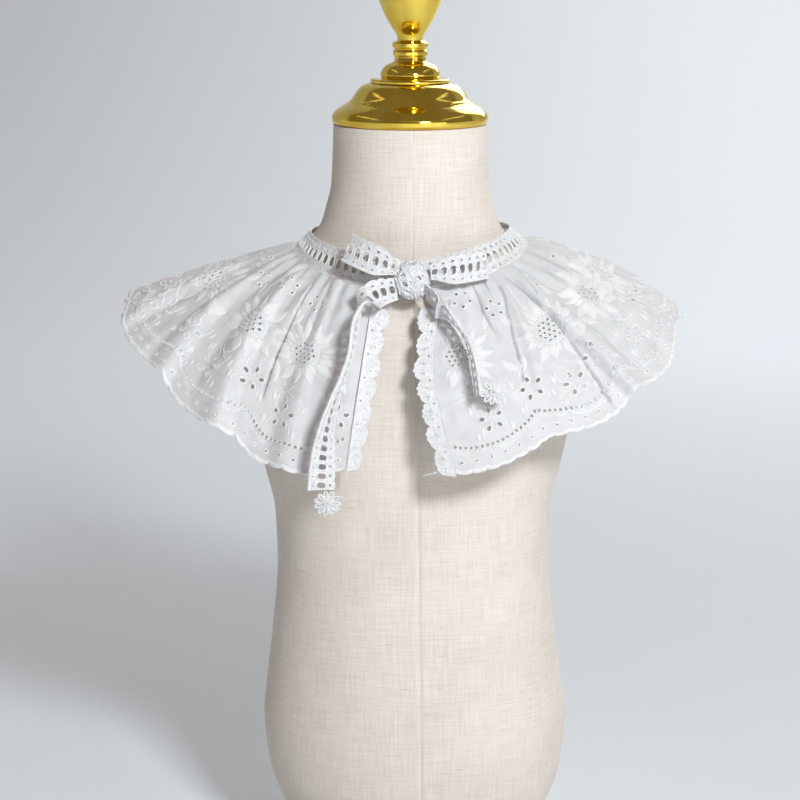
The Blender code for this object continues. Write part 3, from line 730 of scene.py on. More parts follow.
    def at_lobe(self, lobe: Array) -> Array:
        """The share around of a count of scallops."""
        angle = np.interp(lobe, np.arange(len(self.cusps)), self.cusps)
        return (angle - self.hem_angles[0]) / (self.hem_angles[1] - self.hem_angles[0])

    def base(self, around: Array, down: Array) -> Array:
        """The ruled surface from seam to hem, with the scallops and the front edge's bow.

        Args:
            around: shares around.
            down: shares down.

        Returns:
            Places from the form's axis.
        """
        from_edge = np.maximum(around, 0.0) * self.girth(down)
        near = np.exp(-((from_edge / self.edge_bow_reach) ** 2))
        around = around + smooth(*zip(*self.edge_bow), down) * near / self.girth(down)
        seam_angle = self.seam_angles[0] + (self.seam_angles[1] - self.seam_angles[0]) * around
        full = np.abs(np.sin(np.pi * self.lobe(around))) ** self.lobe_fullness
        reach = down + (full - self.lobe_middle) * (self.scallop_depth / self.slant) * down**3
        seam, hem = self.seam(seam_angle), self.hem(self.hem_angle(around))
        return seam + (hem - seam) * reach[..., None]

    def ridge(self, fold: Fold, around: Array, down: Array) -> Array:
        """One fold's height: a cosine ridge, steeper on one side.

        Args:
            fold: the ridge.
            around: shares around.
            down: shares down.

        Returns:
            Heights in metres.
        """
        span = self.seam_angles[1] - self.seam_angles[0]
        at_seam = (fold.seam_angle - self.seam_angles[0]) / span
        at_hem = (fold.hem_angle - self.hem_angles[0]) / (self.hem_angles[1] - self.hem_angles[0])
        beside = (around - (at_seam + (at_hem - at_seam) * down)) * self.girth(down)
        narrowing = self.fold_at_seam + (1.0 - self.fold_at_seam) * ease(down / self.fold_full_at)
        side = np.where(beside < 0.0, 1.0 - fold.lean, 1.0 + fold.lean)
        share = np.clip(np.abs(beside) / (fold.width * side * narrowing), 0.0, 1.0)
        begun = ease((down - fold.start) / self.fold_fades[0] + 0.5)
        ended = ease((down - fold.end) / self.fold_fades[1] + 1.0)
        return fold.height * narrowing * begun * (1.0 - ended) * (0.5 + 0.5 * np.cos(np.pi * share))

    def crease(self, row: Crease, around: Array, down: Array) -> Array:
        """One crease's height: a narrow bell across the line between its ends, fading at both.

        Args:
            row: the crease.
            around: shares around.
            down: shares down.

        Returns:
            Heights in metres.
        """
        along = np.clip((down - row.down) / (row.to_down - row.down), 0.0, 1.0)
        line = row.around + (row.to_around - row.around) * along
        beside = (around - line) * self.girth(down)
        bell = np.exp(-((beside / row.width) ** 2))
        kept = ease((down - row.down) / self.crease_fade + 0.5)
        return row.height * bell * kept * ease((row.to_down - down) / self.crease_fade + 0.5)

    def lift(self, around: Array, down: Array) -> Array:
        """How far bulge, gathers, folds, creases and waves lift the cloth.

        Args:
            around: shares around.
            down: shares down.

        Returns:
            Heights in metres.
        """
        around = np.clip(around, 0.0, 1.0)
        bulge = self.bulge_mean + self.bulge_right * np.sin(np.radians(self.hem_angle(around)))
        raised = bulge * 4.0 * down * (1.0 - np.clip(down, 0.0, 1.0))
        uneven = np.sin(self.uneven_turns[0] * around + 1.0) * np.sin(self.uneven_turns[1] * around)
        uneven = 1.0 - self.gather_unevenness + self.gather_unevenness * uneven
        reach = down * (1.0 + self.gather_reach * np.sin(self.reach_turns * around))
        crest = 0.5 - 0.5 * np.cos(2.0 * np.pi * self.gathers * around)
        raised = raised + smooth(*zip(*self.gather_heights), reach) * crest * uneven
        wave = self.wave_mean
        for count, share, phase in self.waves:
            wave = wave + share * np.sin(2.0 * np.pi * count * around + phase)
        raised = raised + self.wave_height * wave * ease(down) ** 2
        for fold in self.folds:
            raised = raised + self.ridge(fold, around, down)
        for row in self.creases:
            raised = raised + self.crease(row, around, down)
        for fine, coarse, phase in self.ripples:
            raised = raised + self.ripple_height * (
                np.sin(fine[0] * around + fine[1] * down + phase)
                * np.sin(coarse[0] * around + coarse[1] * down))
        return raised

    def steps(self, around: Array, down: Array) -> tuple[Array, Array]:
        """How the ruled surface moves with the share around and with the share down.

        Args:
            around: shares around.
            down: shares down.

        Returns:
            Metres for each whole share, by differences over the probe.
        """
        step = self.probe
        across = self.base(around + step, down) - self.base(around - step, down)
        fall = self.base(around, down + step) - self.base(around, down - step)
        return across / (2.0 * step), fall / (2.0 * step)

    def outward(self, around: Array, down: Array) -> Array:
        """The direction square to the ruled surface, away from the form."""
        across, fall = self.steps(around, down)
        return unit(np.cross(fall, across))

    def points(self, around: Array, down: Array, height: Array) -> Array:
        """Points of the cloth, a height off its middle."""
        raised = self.lift(around, down) + self.middle_lift + height
        return self.base(around, down) + self.outward(around, down) * raised[..., None]

    def spread(self, around: Array, down: Array, x: Array, y: Array) -> tuple[Array, Array]:
        """Shares of points near a place.

        Args:
            around: the place's share around.
            down: its share down.
            x: metres from it, square to the cloth's fall, to the viewer's right on the front.
            y: metres up the cloth.

        Returns:
            Shares around and down of the points. They solve x = a1 da and y = a2 da - f dd, with
            a1, a2 the surface's step across in that frame and f its step along the fall.
        """
        across, fall = self.steps(around, down)
        length = np.linalg.norm(fall, axis=-1)
        up = -fall / length[..., None]
        climb = np.sum(across * up, axis=-1)
        run = np.sqrt(np.maximum(np.sum(across * across, axis=-1) - climb**2, 1e-9))
        shift = x / run
        return around + shift, down + (climb * shift - y) / length


# Embroidery of the cape


class Motif(NamedTuple):
    """A motif's place: scallops from the first cusp, metres up from the hem, turn in degrees."""

    lobe: float
    up: float
    turn: float = 0.0


@dataclass
class Eyelets:
    """Oval holes with raised rims, by place and size.

    Attributes:
        around: share around of each middle.
        down: share down of each middle.
        x: middle's offset from that place, metres.
        y: the same, up.
        long: half length of each hole.
        wide: half width of each hole.
        turn: direction of each length, radians.
    """

    around: Array
    down: Array
    x: Array
    y: Array
    long: Array
    wide: Array
    turn: Array

    @classmethod
    def of(cls, around: Array, down: Array, x: Array, y: Array, long: float, wide: float,
            turn: Array) -> "Eyelets":
        """Flattens arrays of one shape to rows."""
        parts = np.broadcast_arrays(around, down, x, y, long, wide, turn)
        return cls(*(np.array(part, dtype=float).ravel() for part in parts))

    @classmethod
    def joined(cls, groups: Sequence["Eyelets"]) -> "Eyelets":
        """One set of several."""
        columns = zip(*(vars(group).values() for group in groups))
        return cls(*(np.concatenate(column) for column in columns))

    def ring(self, surface: CapeSurface, grow: Array, count: int) -> tuple[Array, Array]:
        """Rings round the holes.

        Args:
            surface: the cape's surface.
            grow: metres by which each ring is wider than the hole.
            count: points of each ring.

        Returns:
            Shares around and down, by hole, point and ring.
        """
        cosine, sine = (part[None, :, None] for part in oval(count))
        long, wide, turn, left, up = (part[:, None, None] for part in (
            self.long, self.wide, self.turn, self.x, self.y))
        long, wide = (long + grow) * cosine, (wide + grow) * sine
        x = left + long * np.cos(turn) - wide * np.sin(turn)
        y = up + long * np.sin(turn) + wide * np.cos(turn)
        return surface.spread(self.around[:, None, None], self.down[:, None, None], x, y)

    def rims(self, surface: CapeSurface, width: float, height: float, lift: float) -> Shape:
        """Raised rims round the holes.

        Args:
            surface: the cape's surface.
            width: half the rim's width.
            height: half its height.
            lift: its middle over the cloth.

        Returns:
            Hoops of an oval section.
        """
        cosine, sine = oval(6)
        around, down = self.ring(surface, width * (0.9 + cosine), 12)
        raised = np.broadcast_to(lift + height * sine, around.shape)
        return loft(surface.points(around, down, raised), closed=True)


@dataclass
class Embroidery:
    """All stitched and pierced work of the cape, by the photo's places and sizes."""

    surface: CapeSurface
    face: float = 0.0002
    suns: tuple[Motif, ...] = tuple(Motif(*row) for row in (
        (0.42, 0.066), (1.66, 0.0607), (2.55, 0.0618), (3.05, 0.0607), (4.42, 0.061), (5.38, 0.06),
        (6.4, 0.061), (7.4, 0.06), (8.4, 0.061), (9.36, 0.06), (10.3, 0.06), (11.26, 0.0586),
        (12.37, 0.0602), (13.25, 0.0629)))
    flowers: tuple[Motif, ...] = tuple(Motif(*row) for row in (
        (0.56, 0.0246), (1.07, 0.0317), (1.51, 0.0257), (1.92, 0.0323), (2.5, 0.0257),
        *((0.5 * step, (0.032, 0.025)[step % 2]) for step in range(6, 22)), (10.93, 0.031),
        (11.34, 0.0241), (11.83, 0.0306), (12.32, 0.0257), (12.83, 0.035), (13.31, 0.0257),
        (13.82, 0.031)))
    buds: tuple[Motif, ...] = tuple(Motif(*row) for row in (
        (0.63, 0.0985, 20), (1.11, 0.087, 5), (2.05, 0.093, 40), (3, 0.0915, 10), (3.95, 0.093, 30),
        (4.9, 0.092, 0), (5.9, 0.093, 25), (6.9, 0.092, 15), (7.9, 0.093, 35), (8.9, 0.092, 5),
        (9.85, 0.093, 20), (10.8, 0.092, 10), (11.32, 0.0914, 30), (11.75, 0.0843, 0),
        (12.32, 0.0925, 25), (13.05, 0.092, 40)))
    sun_radius: float = 0.0086
    sun_grid: float = 0.0031
    sun_hole: float = 0.00066
    petals: int = 13
    petal_reach: Pair = (0.009, 0.0212)
    petal_half_width: float = 0.0026
    flower_radius: float = 0.0055
    flower_hole: Pair = (0.00152, 0.00108)
    bud_radius: float = 0.0046
    bud_hole: float = 0.0007
    ladder_pitch: float = 0.0031
    ladder_shift: float = 0.0055
    ladder_low: float = 0.0115
    ladder_rise: float = 0.0062
    ladder_sharpness: float = 0.75
    ladder_hole: Pair = (0.00098, 0.0008)
    dot_pitch: float = 0.0085
    dot_inset: float = 0.005
    dot_height: float = 0.005
    dot_hole: float = 0.00068
    row_points: int = 2001
    rim: Pair = (0.0005, 0.00046)
    small_rim: Pair = (0.00032, 0.00038)
    petal_rise: float = 0.0007
    petal_sway: float = 0.06
    petal_unevenness: Pair = (0.13, 0.12)
    lower_shorter: float = 0.12
    inner_petal: Triple = (0.55, 0.0015, 0.0005)
    sun_leaves: tuple = ((196, 0.0215, 42, 0.0135), (-18, 0.0215, -40, 0.0135),
        (38, 0.0225, 30, 0.011), (141, 0.0225, -30, 0.011))
    sun_leaf: Pair = (0.0026, 0.0006)
    small_leaves: tuple = ((24, 0.0112, 50, 0.0062), (152, 0.0112, -55, 0.0062),
        (205, 0.0112, 60, 0.0054), (-30, 0.0112, -60, 0.0054))
    small_leaf: Pair = (0.0014, 0.0005)
    stems: tuple = ((24, 0.5, 0.0145), (152, -0.5, 0.0145), (205, 0.4, 0.012), (-30, -0.4, 0.012),
        (88, 0.25, 0.013))
    stem_from: float = 0.0066
    tendrils: tuple = ((258, 0.55, 0.031), (283, -0.55, 0.031))
    tendril_from: float = 0.0195
    stem_cord: Pair = (0.0004, 0.0004)
    spoke: Pair = (0.0006, 0.0016)
    spoke_cord: Pair = (0.00038, 0.00032)
    line_below: Pair = (0.0026, 0.0038)
    line_cord: Pair = (0.00044, 0.00045)
    disc_inset: float = 0.0002
    disc_cord: float = 0.0003

    def ladder_up(self, around: Array) -> Array:
        """The ladder row's height over the hem: low in a scallop's middle, sharp over its cusps.

        Args:
            around: shares around.

        Returns:
            Metres over the hem.
        """
        lobe = self.surface.lobe(around * (1.0 + self.ladder_shift))
        full = np.abs(np.sin(np.pi * lobe)) ** self.ladder_sharpness
        return self.ladder_low + self.ladder_rise * (1.0 - full)

    def shares(self, motifs: Sequence[Motif]) -> tuple[Array, Array, Array]:
        """Shares around and down and turns in radians of motifs."""
        lobe, up, turn = np.array(motifs).T
        return self.surface.at_lobe(lobe), 1.0 - up / self.surface.slant, np.radians(turn)

    def row(self, pitch: float, up: Array, holes: Pair, inset: float) -> Eyelets:
        """A row of holes at an even pitch along a line.

        Args:
            pitch: metres from hole to hole.
            up: the line's heights over the hem, by even shares around.
            holes: half length across the line, and half width along it.
            inset: metres left free at both front edges.

        Returns:
            The holes, turned square to the line.
        """
        around = np.linspace(0.0, 1.0, self.row_points)
        line = self.surface.base(around, 1.0 - up / self.surface.slant)
        along = measured(line)
        count = int((along[-1] - 2.0 * inset) / pitch)
        places = np.interp(np.linspace(inset, along[-1] - inset, count), along, around)
        height = np.interp(places, around, up)
        step = 0.0015
        rise = np.interp(places + step, around, up) - np.interp(places - step, around, up)
        run = np.interp(places + step, around, along) - np.interp(places - step, around, along)
        slope = np.arctan2(rise, np.maximum(run, 1e-6))
        return Eyelets.of(places, 1.0 - height / self.surface.slant, 0.0, 0.0, *holes,
            slope + 0.5 * math.pi)

    def rows(self) -> tuple[Eyelets, Eyelets]:
        """The ladder row and the row of dots along the hem."""
        even = np.linspace(0.0, 1.0, self.row_points)
        ladder = self.row(self.ladder_pitch, self.ladder_up(even), self.ladder_hole, 0.004)
        dots = self.row(self.dot_pitch, np.full_like(even, self.dot_height),
            (self.dot_hole, self.dot_hole), self.dot_inset)
        return ladder, dots

    def star(self, motifs: Sequence[Motif], count: int, radius: float, hole: Pair) -> Eyelets:
        """Rings of oval holes that point to each motif's middle.

        Args:
            motifs: the motifs.
            count: holes in each ring.
            radius: the ring's, metres.
            hole: half length and half width of each hole.

        Returns:
            The holes.
        """
        around, down, turn = (part[:, None] for part in self.shares(motifs))
        angle = turn + np.arange(count) * (2.0 * math.pi / count) + 0.5 * math.pi
        return Eyelets.of(around, down, radius * np.cos(angle), radius * np.sin(angle), *hole,
            angle)

    def discs(self) -> Eyelets:
        """The suns' discs: a staggered grid of small holes in a circle."""
        row, col = np.meshgrid(np.arange(-3, 4), np.arange(-3, 4), indexing="ij")
        x = (col + 0.5 * (row % 2)) * self.sun_grid
        y = row * self.sun_grid * 0.866
        inside = np.hypot(x, y) < self.sun_radius - 0.0008
        around, down, _ = (part[:, None] for part in self.shares(self.suns))
        return Eyelets.of(around, down, x[inside], y[inside], self.sun_hole, self.sun_hole, 0.0)

    def leaf_rings(self, around: Array, down: Array, x: Array, y: Array, turn: Array, length: Array,
            half_width: Array, height: float) -> Shape:
        """Domed pointed leaves.

        Args:
            around: share around of each leaf's root motif.
            down: its share down.
            x: the root's offset, metres.
            y: the same, up.
            turn: the leaf's direction, radians.
            length: its length, metres.
            half_width: half its widest.
            height: how far it stands up.

        Returns:
            The leaves. Width follows sin(pi u^0.8) and the section is half an oval.
        """
        around, down, x, y, turn, length, half_width = (
            np.array(part, dtype=float).ravel()[:, None, None]
            for part in np.broadcast_arrays(around, down, x, y, turn, length, half_width))
        share = np.linspace(0.02, 0.98, 15)[None, :, None]
        cosine, sine = (part[None, None, :] for part in oval(12))
        full = np.sin(np.pi * share**0.8)
        ahead = share * length + 0.0 * cosine
        aside = half_width * full * cosine
        px = x + ahead * np.cos(turn) - aside * np.sin(turn)
        py = y + ahead * np.sin(turn) + aside * np.cos(turn)
        raised = self.face + height * np.sqrt(full) * np.where(sine > 0.0, sine, 0.35 * sine)
        places = self.surface.spread(around, down, px, py)
        kept = self.on_cloth(places)
        raised = np.broadcast_to(raised, px.shape)
        flat = np.stack(np.broadcast_arrays(ahead, aside), -1)
        return loft(self.surface.points(*places, raised)[kept], uv=flat[kept])

    def on_cloth(self, places: tuple[Array, Array]) -> Array:
        """Which bodies lie wholly on the cloth, clear of its front edges and its seam.

        Args:
            places: shares around and down, bodies first.

        Returns:
            True for each body that is.
        """
        body = tuple(range(1, places[0].ndim))
        within = (places[0] > 0.002) & (places[0] < 0.998) & (places[1] > 0.01)
        return np.all(within, axis=body)

    def petal_shape(self) -> Shape:
        """The suns' petals, long ones and short ones between."""
        around, down, _ = (part[:, None] for part in self.shares(self.suns))
        order = np.arange(self.petals)
        uneven = np.sin(order * 2.4 + np.arange(len(self.suns))[:, None] * 1.3)
        turn = order * (2.0 * math.pi / self.petals) + self.petal_sway * uneven
        root, tip = self.petal_reach
        lower = np.clip(-np.sin(turn), 0.0, 1.0)
        longer, wider = self.petal_unevenness
        length = (tip - root) * (1.0 + longer * uneven) * (1.0 - self.lower_shorter * lower)
        outer = self.leaf_rings(around, down, root * np.cos(turn), root * np.sin(turn), turn,
            length, self.petal_half_width * (1.0 + wider * uneven), self.petal_rise)
        half = turn + math.pi / self.petals
        shorter, half_width, rise = self.inner_petal
        inner = self.leaf_rings(around, down, root * np.cos(half), root * np.sin(half), half,
            shorter * length, half_width, rise)
        return Shape.joined([outer, inner])

    def leaf_shape(self) -> Shape:
        """Leaves beside the suns, and small leaves along the stems."""
        shapes = []
        for motifs, leaves, leaf in ((self.suns, self.sun_leaves, self.sun_leaf),
                (self.flowers, self.small_leaves, self.small_leaf)):
            around, down, _ = (part[:, None] for part in self.shares(motifs))
            turn, far, lean, length = np.array(leaves).T
            turn, lean = np.radians(turn), np.radians(lean)
            shapes.append(self.leaf_rings(around, down, far * np.cos(turn), far * np.sin(turn),
                turn + lean, length, *leaf))
        return Shape.joined(shapes)

    def cords(self, around: Array, down: Array, x: Array, y: Array, half_width: float,
            height: float, lift: float = 0.0) -> Shape:
        """Raised cords along lines.

        Args:
            around: share around, one row for each cord, broadcast against x and y.
            down: share down in the same way.
            x: offsets of the line's points, metres.
            y: the same, up.
            half_width: half the cord's width.
            height: how far it stands up.
            lift: its middle over the cloth's face.

        Returns:
            Closed cords of an oval section, thinner at both ends.
        """
        around, down, x, y = np.broadcast_arrays(around, down, x, y)
        along_x, along_y = np.gradient(x, axis=-1), np.gradient(y, axis=-1)
        if np.ptp(x) == 0.0:
            across = self.surface.base(around, down)
            run = np.gradient(across, axis=-2)
            fall = self.surface.base(around, down + 0.002) - across
            up = -unit(fall)
            along_y = np.sum(run * up, axis=-1)
            along_x = np.sqrt(np.maximum(np.sum(run * run, axis=-1) - along_y**2, 1e-12))
        size = np.maximum(np.hypot(along_x, along_y), 1e-12)
        side_x, side_y = -along_y / size, along_x / size
        cosine, sine = oval(6)
        share = np.linspace(0, 1, x.shape[-1])
        taper = np.minimum(1.0, 0.3 + 8.0 * np.minimum(share, share[::-1]))
        aside = half_width * taper[:, None] * cosine
        px = x[..., None] + side_x[..., None] * aside
        py = y[..., None] + side_y[..., None] * aside
        places = self.surface.spread(around[..., None], down[..., None], px, py)
        raised = np.broadcast_to(self.face + lift + height * taper[:, None] * sine, px.shape)
        kept = self.on_cloth(places)
        return loft(self.surface.points(*places, raised)[kept])

    def arcs(self, motifs: Sequence[Motif], rows: Sequence[tuple], start: float) -> list[Shape]:
        """Bent cords that run out from motifs.

        Args:
            motifs: the motifs.
            rows: direction in degrees, bend in radians and reach in metres of each cord.
            start: metres from the middle to the cords' roots.

        Returns:
            One shape for each row.
        """
        share = np.linspace(0.0, 1.0, 16)
        around, down, _ = (part[:, None] for part in self.shares(motifs))
        shapes = []
        for turn, bend, reach in rows:
            angle = math.radians(turn) + bend * share
            radius = start + (reach - start) * share
            shapes.append(self.cords(around, down, (radius * np.cos(angle))[None],
                (radius * np.sin(angle))[None], *self.stem_cord))
        return shapes

    def stem_shape(self) -> Shape:
        """Curved stems between flowers, the flowers' short spokes, and tendrils under the suns."""
        around, down, turn = (part[:, None] for part in self.shares(self.flowers))
        angle = (turn + np.arange(5) * (2.0 * math.pi / 5) + 0.5 * math.pi).ravel()[:, None]
        around, down = (np.repeat(part, 5, axis=0) for part in (around, down))
        radius = np.linspace(self.spoke[0], self.flower_radius - self.spoke[1], 5)[None]
        spokes = self.cords(around, down, radius * np.cos(angle), radius * np.sin(angle),
            *self.spoke_cord)
        return Shape.joined([*self.arcs(self.flowers, self.stems, self.stem_from), spokes,
            *self.arcs(self.suns, self.tendrils, self.tendril_from)])

    def disc_edge_shape(self) -> Shape:
        """A raised line round each sun's disc."""
        around, down, _ = self.shares(self.suns)
        radius = self.sun_radius - self.disc_inset
        rings = Eyelets.of(around, down, 0.0, 0.0, radius, radius, 0.0)
        cosine, sine = oval(6)
        places = rings.ring(self.surface, self.disc_cord * cosine, 36)
        raised = np.broadcast_to(self.face + self.disc_cord * sine, places[0].shape)
        return loft(self.surface.points(*places, raised), closed=True)

    def lines_shape(self) -> Shape:
        """Two raised lines that follow the ladder row on the hem's side."""
        even = np.linspace(0.004, 0.996, 1100)[None]
        shapes = []
        for below in self.line_below:
            down = 1.0 - (self.ladder_up(even) - below) / self.surface.slant
            zero = np.zeros_like(even)
            shapes.append(self.cords(even, down, zero, zero, *self.line_cord))
        return Shape.joined(shapes)


@dataclass
class HemEdge:
    """The buttonhole edge: a thick stitched cord along the hem, one wavelet round each dot."""

    surface: CapeSurface
    dots: Array
    swing: float = 0.0012
    half_width: float = 0.0014
    half_height: float = 0.0006
    sharpness: float = 0.6
    rib: float = 0.1
    stitch: float = 0.0016
    inset: float = 0.0005
    rings: int = 2400

    def shape(self) -> Shape:
        """A closed cord whose middle swings out by |cos| about each dot, ribbed by its stitches."""
        around = np.linspace(0.0, 1.0, self.rings)
        along = around * self.surface.hem_length
        step = self.dots[1] - self.dots[0]
        places = np.concatenate(([self.dots[0] - step], self.dots, [self.dots[-1] + step]))
        count = np.interp(around, places, np.arange(len(places)))
        wave = np.abs(np.cos(np.pi * count)) ** self.sharpness
        rib = 1.0 + self.rib * np.sin(2.0 * np.pi * along / self.stitch)
        cosine, sine = oval(8)
        y = (self.inset - self.swing * wave)[:, None] + self.half_width * rib[:, None] * cosine
        height = self.half_height * rib[:, None] * sine
        full = around[:, None] + 0.0 * cosine
        places = self.surface.spread(full, np.ones_like(full), np.zeros_like(full), y)
        flat = np.stack([np.broadcast_to(along[:, None], full.shape), y], -1)[None]
        return loft(self.surface.points(*places, height)[None], uv=flat)


@dataclass
class Cape:
    """The pierced cloth of the cape, with its embroidery."""

    surface: CapeSurface = field(default_factory=CapeSurface)
    top: float = 0.002
    step: Pair = (0.0016, 0.0025)
    half_thickness: float = 0.00018
    clearance: float = 0.0009
    probe: float = 0.001
    crease_rows: tuple[float, ...] = (-1.9, -1.1, -0.5, 0.0, 0.5, 1.1, 1.9)

    def __post_init__(self) -> None:
        """Makes the embroidery on the same surface."""
        self.embroidery = Embroidery(self.surface)

    def holes(self) -> list[Eyelets]:
        """All sets of holes: ladder, dots, flowers, buds and the suns' discs."""
        work = self.embroidery
        ladder, dots = work.rows()
        flowers = work.star(work.flowers, 5, work.flower_radius, work.flower_hole)
        buds = work.star(work.buds, 5, work.bud_radius, (work.bud_hole, work.bud_hole))
        return [ladder, dots, flowers, buds, work.discs()]

    def flat(self, around: Array, down: Array) -> Array:
        """The flat pattern's place in metres: along the hem, and up from it."""
        return np.stack([around * self.surface.hem_length, (1.0 - down) * self.surface.slant], -1)

    def outline(self) -> Array:
        """The flat pattern's edge, counter-clockwise from the right front corner of the hem."""
        long, high = self.surface.hem_length, self.surface.slant * (1.0 - self.top)
        along = np.linspace(0.0, long, 981)
        rise = np.linspace(0.0, high, 58)[1:-1]
        back = np.linspace(long, 0.0, 491)
        hem = np.stack([along, np.zeros_like(along)], -1)
        far = np.stack([np.full_like(rise, long), rise], -1)
        seam = np.stack([back, np.full_like(back, high)], -1)
        near = np.stack([np.zeros_like(rise), rise[::-1]], -1)
        return np.concatenate([hem, far, seam, near])

    def inside(self, holes: Eyelets) -> Array:
        """Grid points of the pattern that are clear of the holes and of the outline.

        Args:
            holes: all the holes.

        Returns:
            xy rows. Each hole clears the grid points within its size and the clearance.
        """
        long, high = self.surface.hem_length, self.surface.slant * (1.0 - self.top)
        xs = np.arange(self.step[0] * 0.6, long - self.step[0] * 0.4, self.step[0])
        ys = np.arange(self.step[1] * 0.6, high - self.step[1] * 0.4, self.step[1])
        kept = np.ones((len(xs), len(ys)), dtype=bool)
        middle = self.flat(*self.surface.spread(holes.around, holes.down, holes.x, holes.y))
        edge = self.flat(*self.surface.spread(holes.around, holes.down, holes.x + self.probe,
            holes.y))
        stretch = np.abs(edge[:, 0] - middle[:, 0]) / self.probe
        reach = np.maximum(holes.long, holes.wide) + self.clearance
        col = np.round((middle[:, 0] - xs[0]) / self.step[0]).astype(int)
        row = np.round((middle[:, 1] - ys[0]) / self.step[1]).astype(int)
        for right in range(-4, 5):
            for up in range(-3, 4):
                i, j = np.clip(col + right, 0, len(xs) - 1), np.clip(row + up, 0, len(ys) - 1)
                away = np.hypot((xs[i] - middle[:, 0]) / stretch, ys[j] - middle[:, 1])
                hit = away < reach
                kept[i[hit], j[hit]] = False
        i, j = np.nonzero(kept)
        return np.concatenate([np.stack([xs[i], ys[j]], -1),
            self.beside_creases(middle, stretch, reach)])

    def beside_creases(self, middle: Array, stretch: Array, reach: Array) -> Array:
        """Closer points along each crease, so that its sides are steep.

        Args:
            middle: xy rows of the holes' middles.
            stretch: pattern metres for each true metre along the hem, at each hole.
            reach: how far each hole clears the points.

        Returns:
            xy rows that are clear of the holes.
        """
        rows = np.array(self.surface.creases)[:, :, None, None]
        share = np.linspace(0.0, 1.0, 40)[None, :, None]
        down = rows[:, 1] + (rows[:, 3] - rows[:, 1]) * share
        aside = rows[:, 4] * np.array(self.crease_rows)
        around = rows[:, 0] + (rows[:, 2] - rows[:, 0]) * share + aside / self.surface.girth(down)
        flat = self.flat(*np.broadcast_arrays(around, down)).reshape(-1, 2)
        away = np.hypot((flat[:, None, 0] - middle[:, 0]) / stretch,
            flat[:, None, 1] - middle[:, 1])
        clear = np.all(away > reach, axis=1) & (flat[:, 1] > self.probe)
        return flat[clear & (flat[:, 1] < self.surface.slant * (1.0 - self.top) - self.probe)]

    def cloth(self) -> Shape:
        """The cape's cloth, a thin shell pierced by every hole."""
        groups = self.holes()
        holes = Eyelets.joined(groups)
        around, down = holes.ring(self.surface, np.zeros(1), 10)
        rings = list(self.flat(around[..., 0], down[..., 0]))
        flat, triangles = pierced(self.outline(), rings, self.inside(holes))
        around = flat[:, 0] / self.surface.hem_length
        down = 1.0 - flat[:, 1] / self.surface.slant
        height = np.full_like(around, self.half_thickness)
        return shell(self.surface.points(around, down, -height),
            self.surface.points(around, down, height), triangles, flat)

    def build(self, finishes: "Finishes") -> None:
        """Builds the cloth and its work."""
        work = self.embroidery
        ladder, dots, flowers, buds, discs = self.holes()
        cloth = self.cloth().build("cape_cloth", finishes.cotton)
        rims, small = (
            Shape.joined([group.rims(self.surface, *size, work.face) for group in groups])
            for size, groups in ((work.rim, (flowers, buds, dots)),
            (work.small_rim, (ladder, discs))))
        sewn = [rims.build("eyelet_rims", finishes.thread),
            small.build("ladder_rims", finishes.thread),
            work.petal_shape().build("satin_petals", finishes.satin),
            work.leaf_shape().build("satin_leaves", finishes.satin),
            Shape.joined([work.stem_shape(), work.lines_shape(), work.disc_edge_shape()]).build(
            "stems_and_lines", finishes.thread),
            HemEdge(self.surface, dots.around).shape().build("hem_edge", finishes.thread),]
        dress(cloth, Slot.COTTON, "cape")
        for piece in sewn:
            dress(piece, Slot.COTTON)


# Ladder lace


class Ribbon:
    """A strip of lace in space, by metres along and across it and a height off its middle."""

    length: float = 0.0

    def points(self, along: Array, across: Array, height: Array) -> Array:
        """Points of the strip.

        Args:
            along: metres from its start.
            across: metres from its lower edge.
            height: metres off its middle, outward.

        Returns:
            Places from the form's axis.
        """
        raise NotImplementedError


@dataclass
class BandRibbon(Ribbon):
    """One half of the neckband, from the knot round to the back."""

    surface: CapeSurface
    start: float
    end: float
    width: float = LACE_WIDTH
    top_half_width: float = 0.06
    top_depths: Pair = (0.058, 0.0545)
    rises: tuple = ((0, 0.015), (30, 0.0155), (60, 0.013), (90, 0.01), (135, 0.011), (180, 0.0125))
    gap: float = 0.0003
    middle: float = 0.0005

    def __post_init__(self) -> None:
        """Measures the strip along its middle."""
        angle = np.linspace(self.start, self.end, 400)
        line = self.face(angle, np.full_like(angle, 0.5))
        self.length = float(np.linalg.norm(np.diff(line, axis=0), axis=1).sum())

    def face(self, angle: Array, up: Array) -> Array:
        """The band's inner face, from just over the seam to the top edge.

        Args:
            angle: degrees from the front.
            up: share of the width.

        Returns:
            Places from the form's axis.
        """
        low = self.surface.seam(angle)
        depth = np.where(np.cos(np.radians(angle)) > 0.0, *self.top_depths)
        x, y = ring_place(angle, self.top_half_width, depth, 2.0)
        z = low[..., 2] + smooth(*zip(*self.rises), from_front(angle))
        rise = np.stack([x, y, z], -1) - low
        return low + self.gap * unit(rise) + rise * up[..., None]

    def points(self, along: Array, across: Array, height: Array) -> Array:
        """Points of the strip, heights outward."""
        angle = self.start + (self.end - self.start) * along / self.length
        up = across / self.width
        side = self.face(angle + 0.5, up) - self.face(angle - 0.5, up)
        climb = self.face(angle, up + 0.002) - self.face(angle, up - 0.002)
        outward = unit(np.cross(side, climb))
        return self.face(angle, up) + outward * (self.middle + height)[..., None]


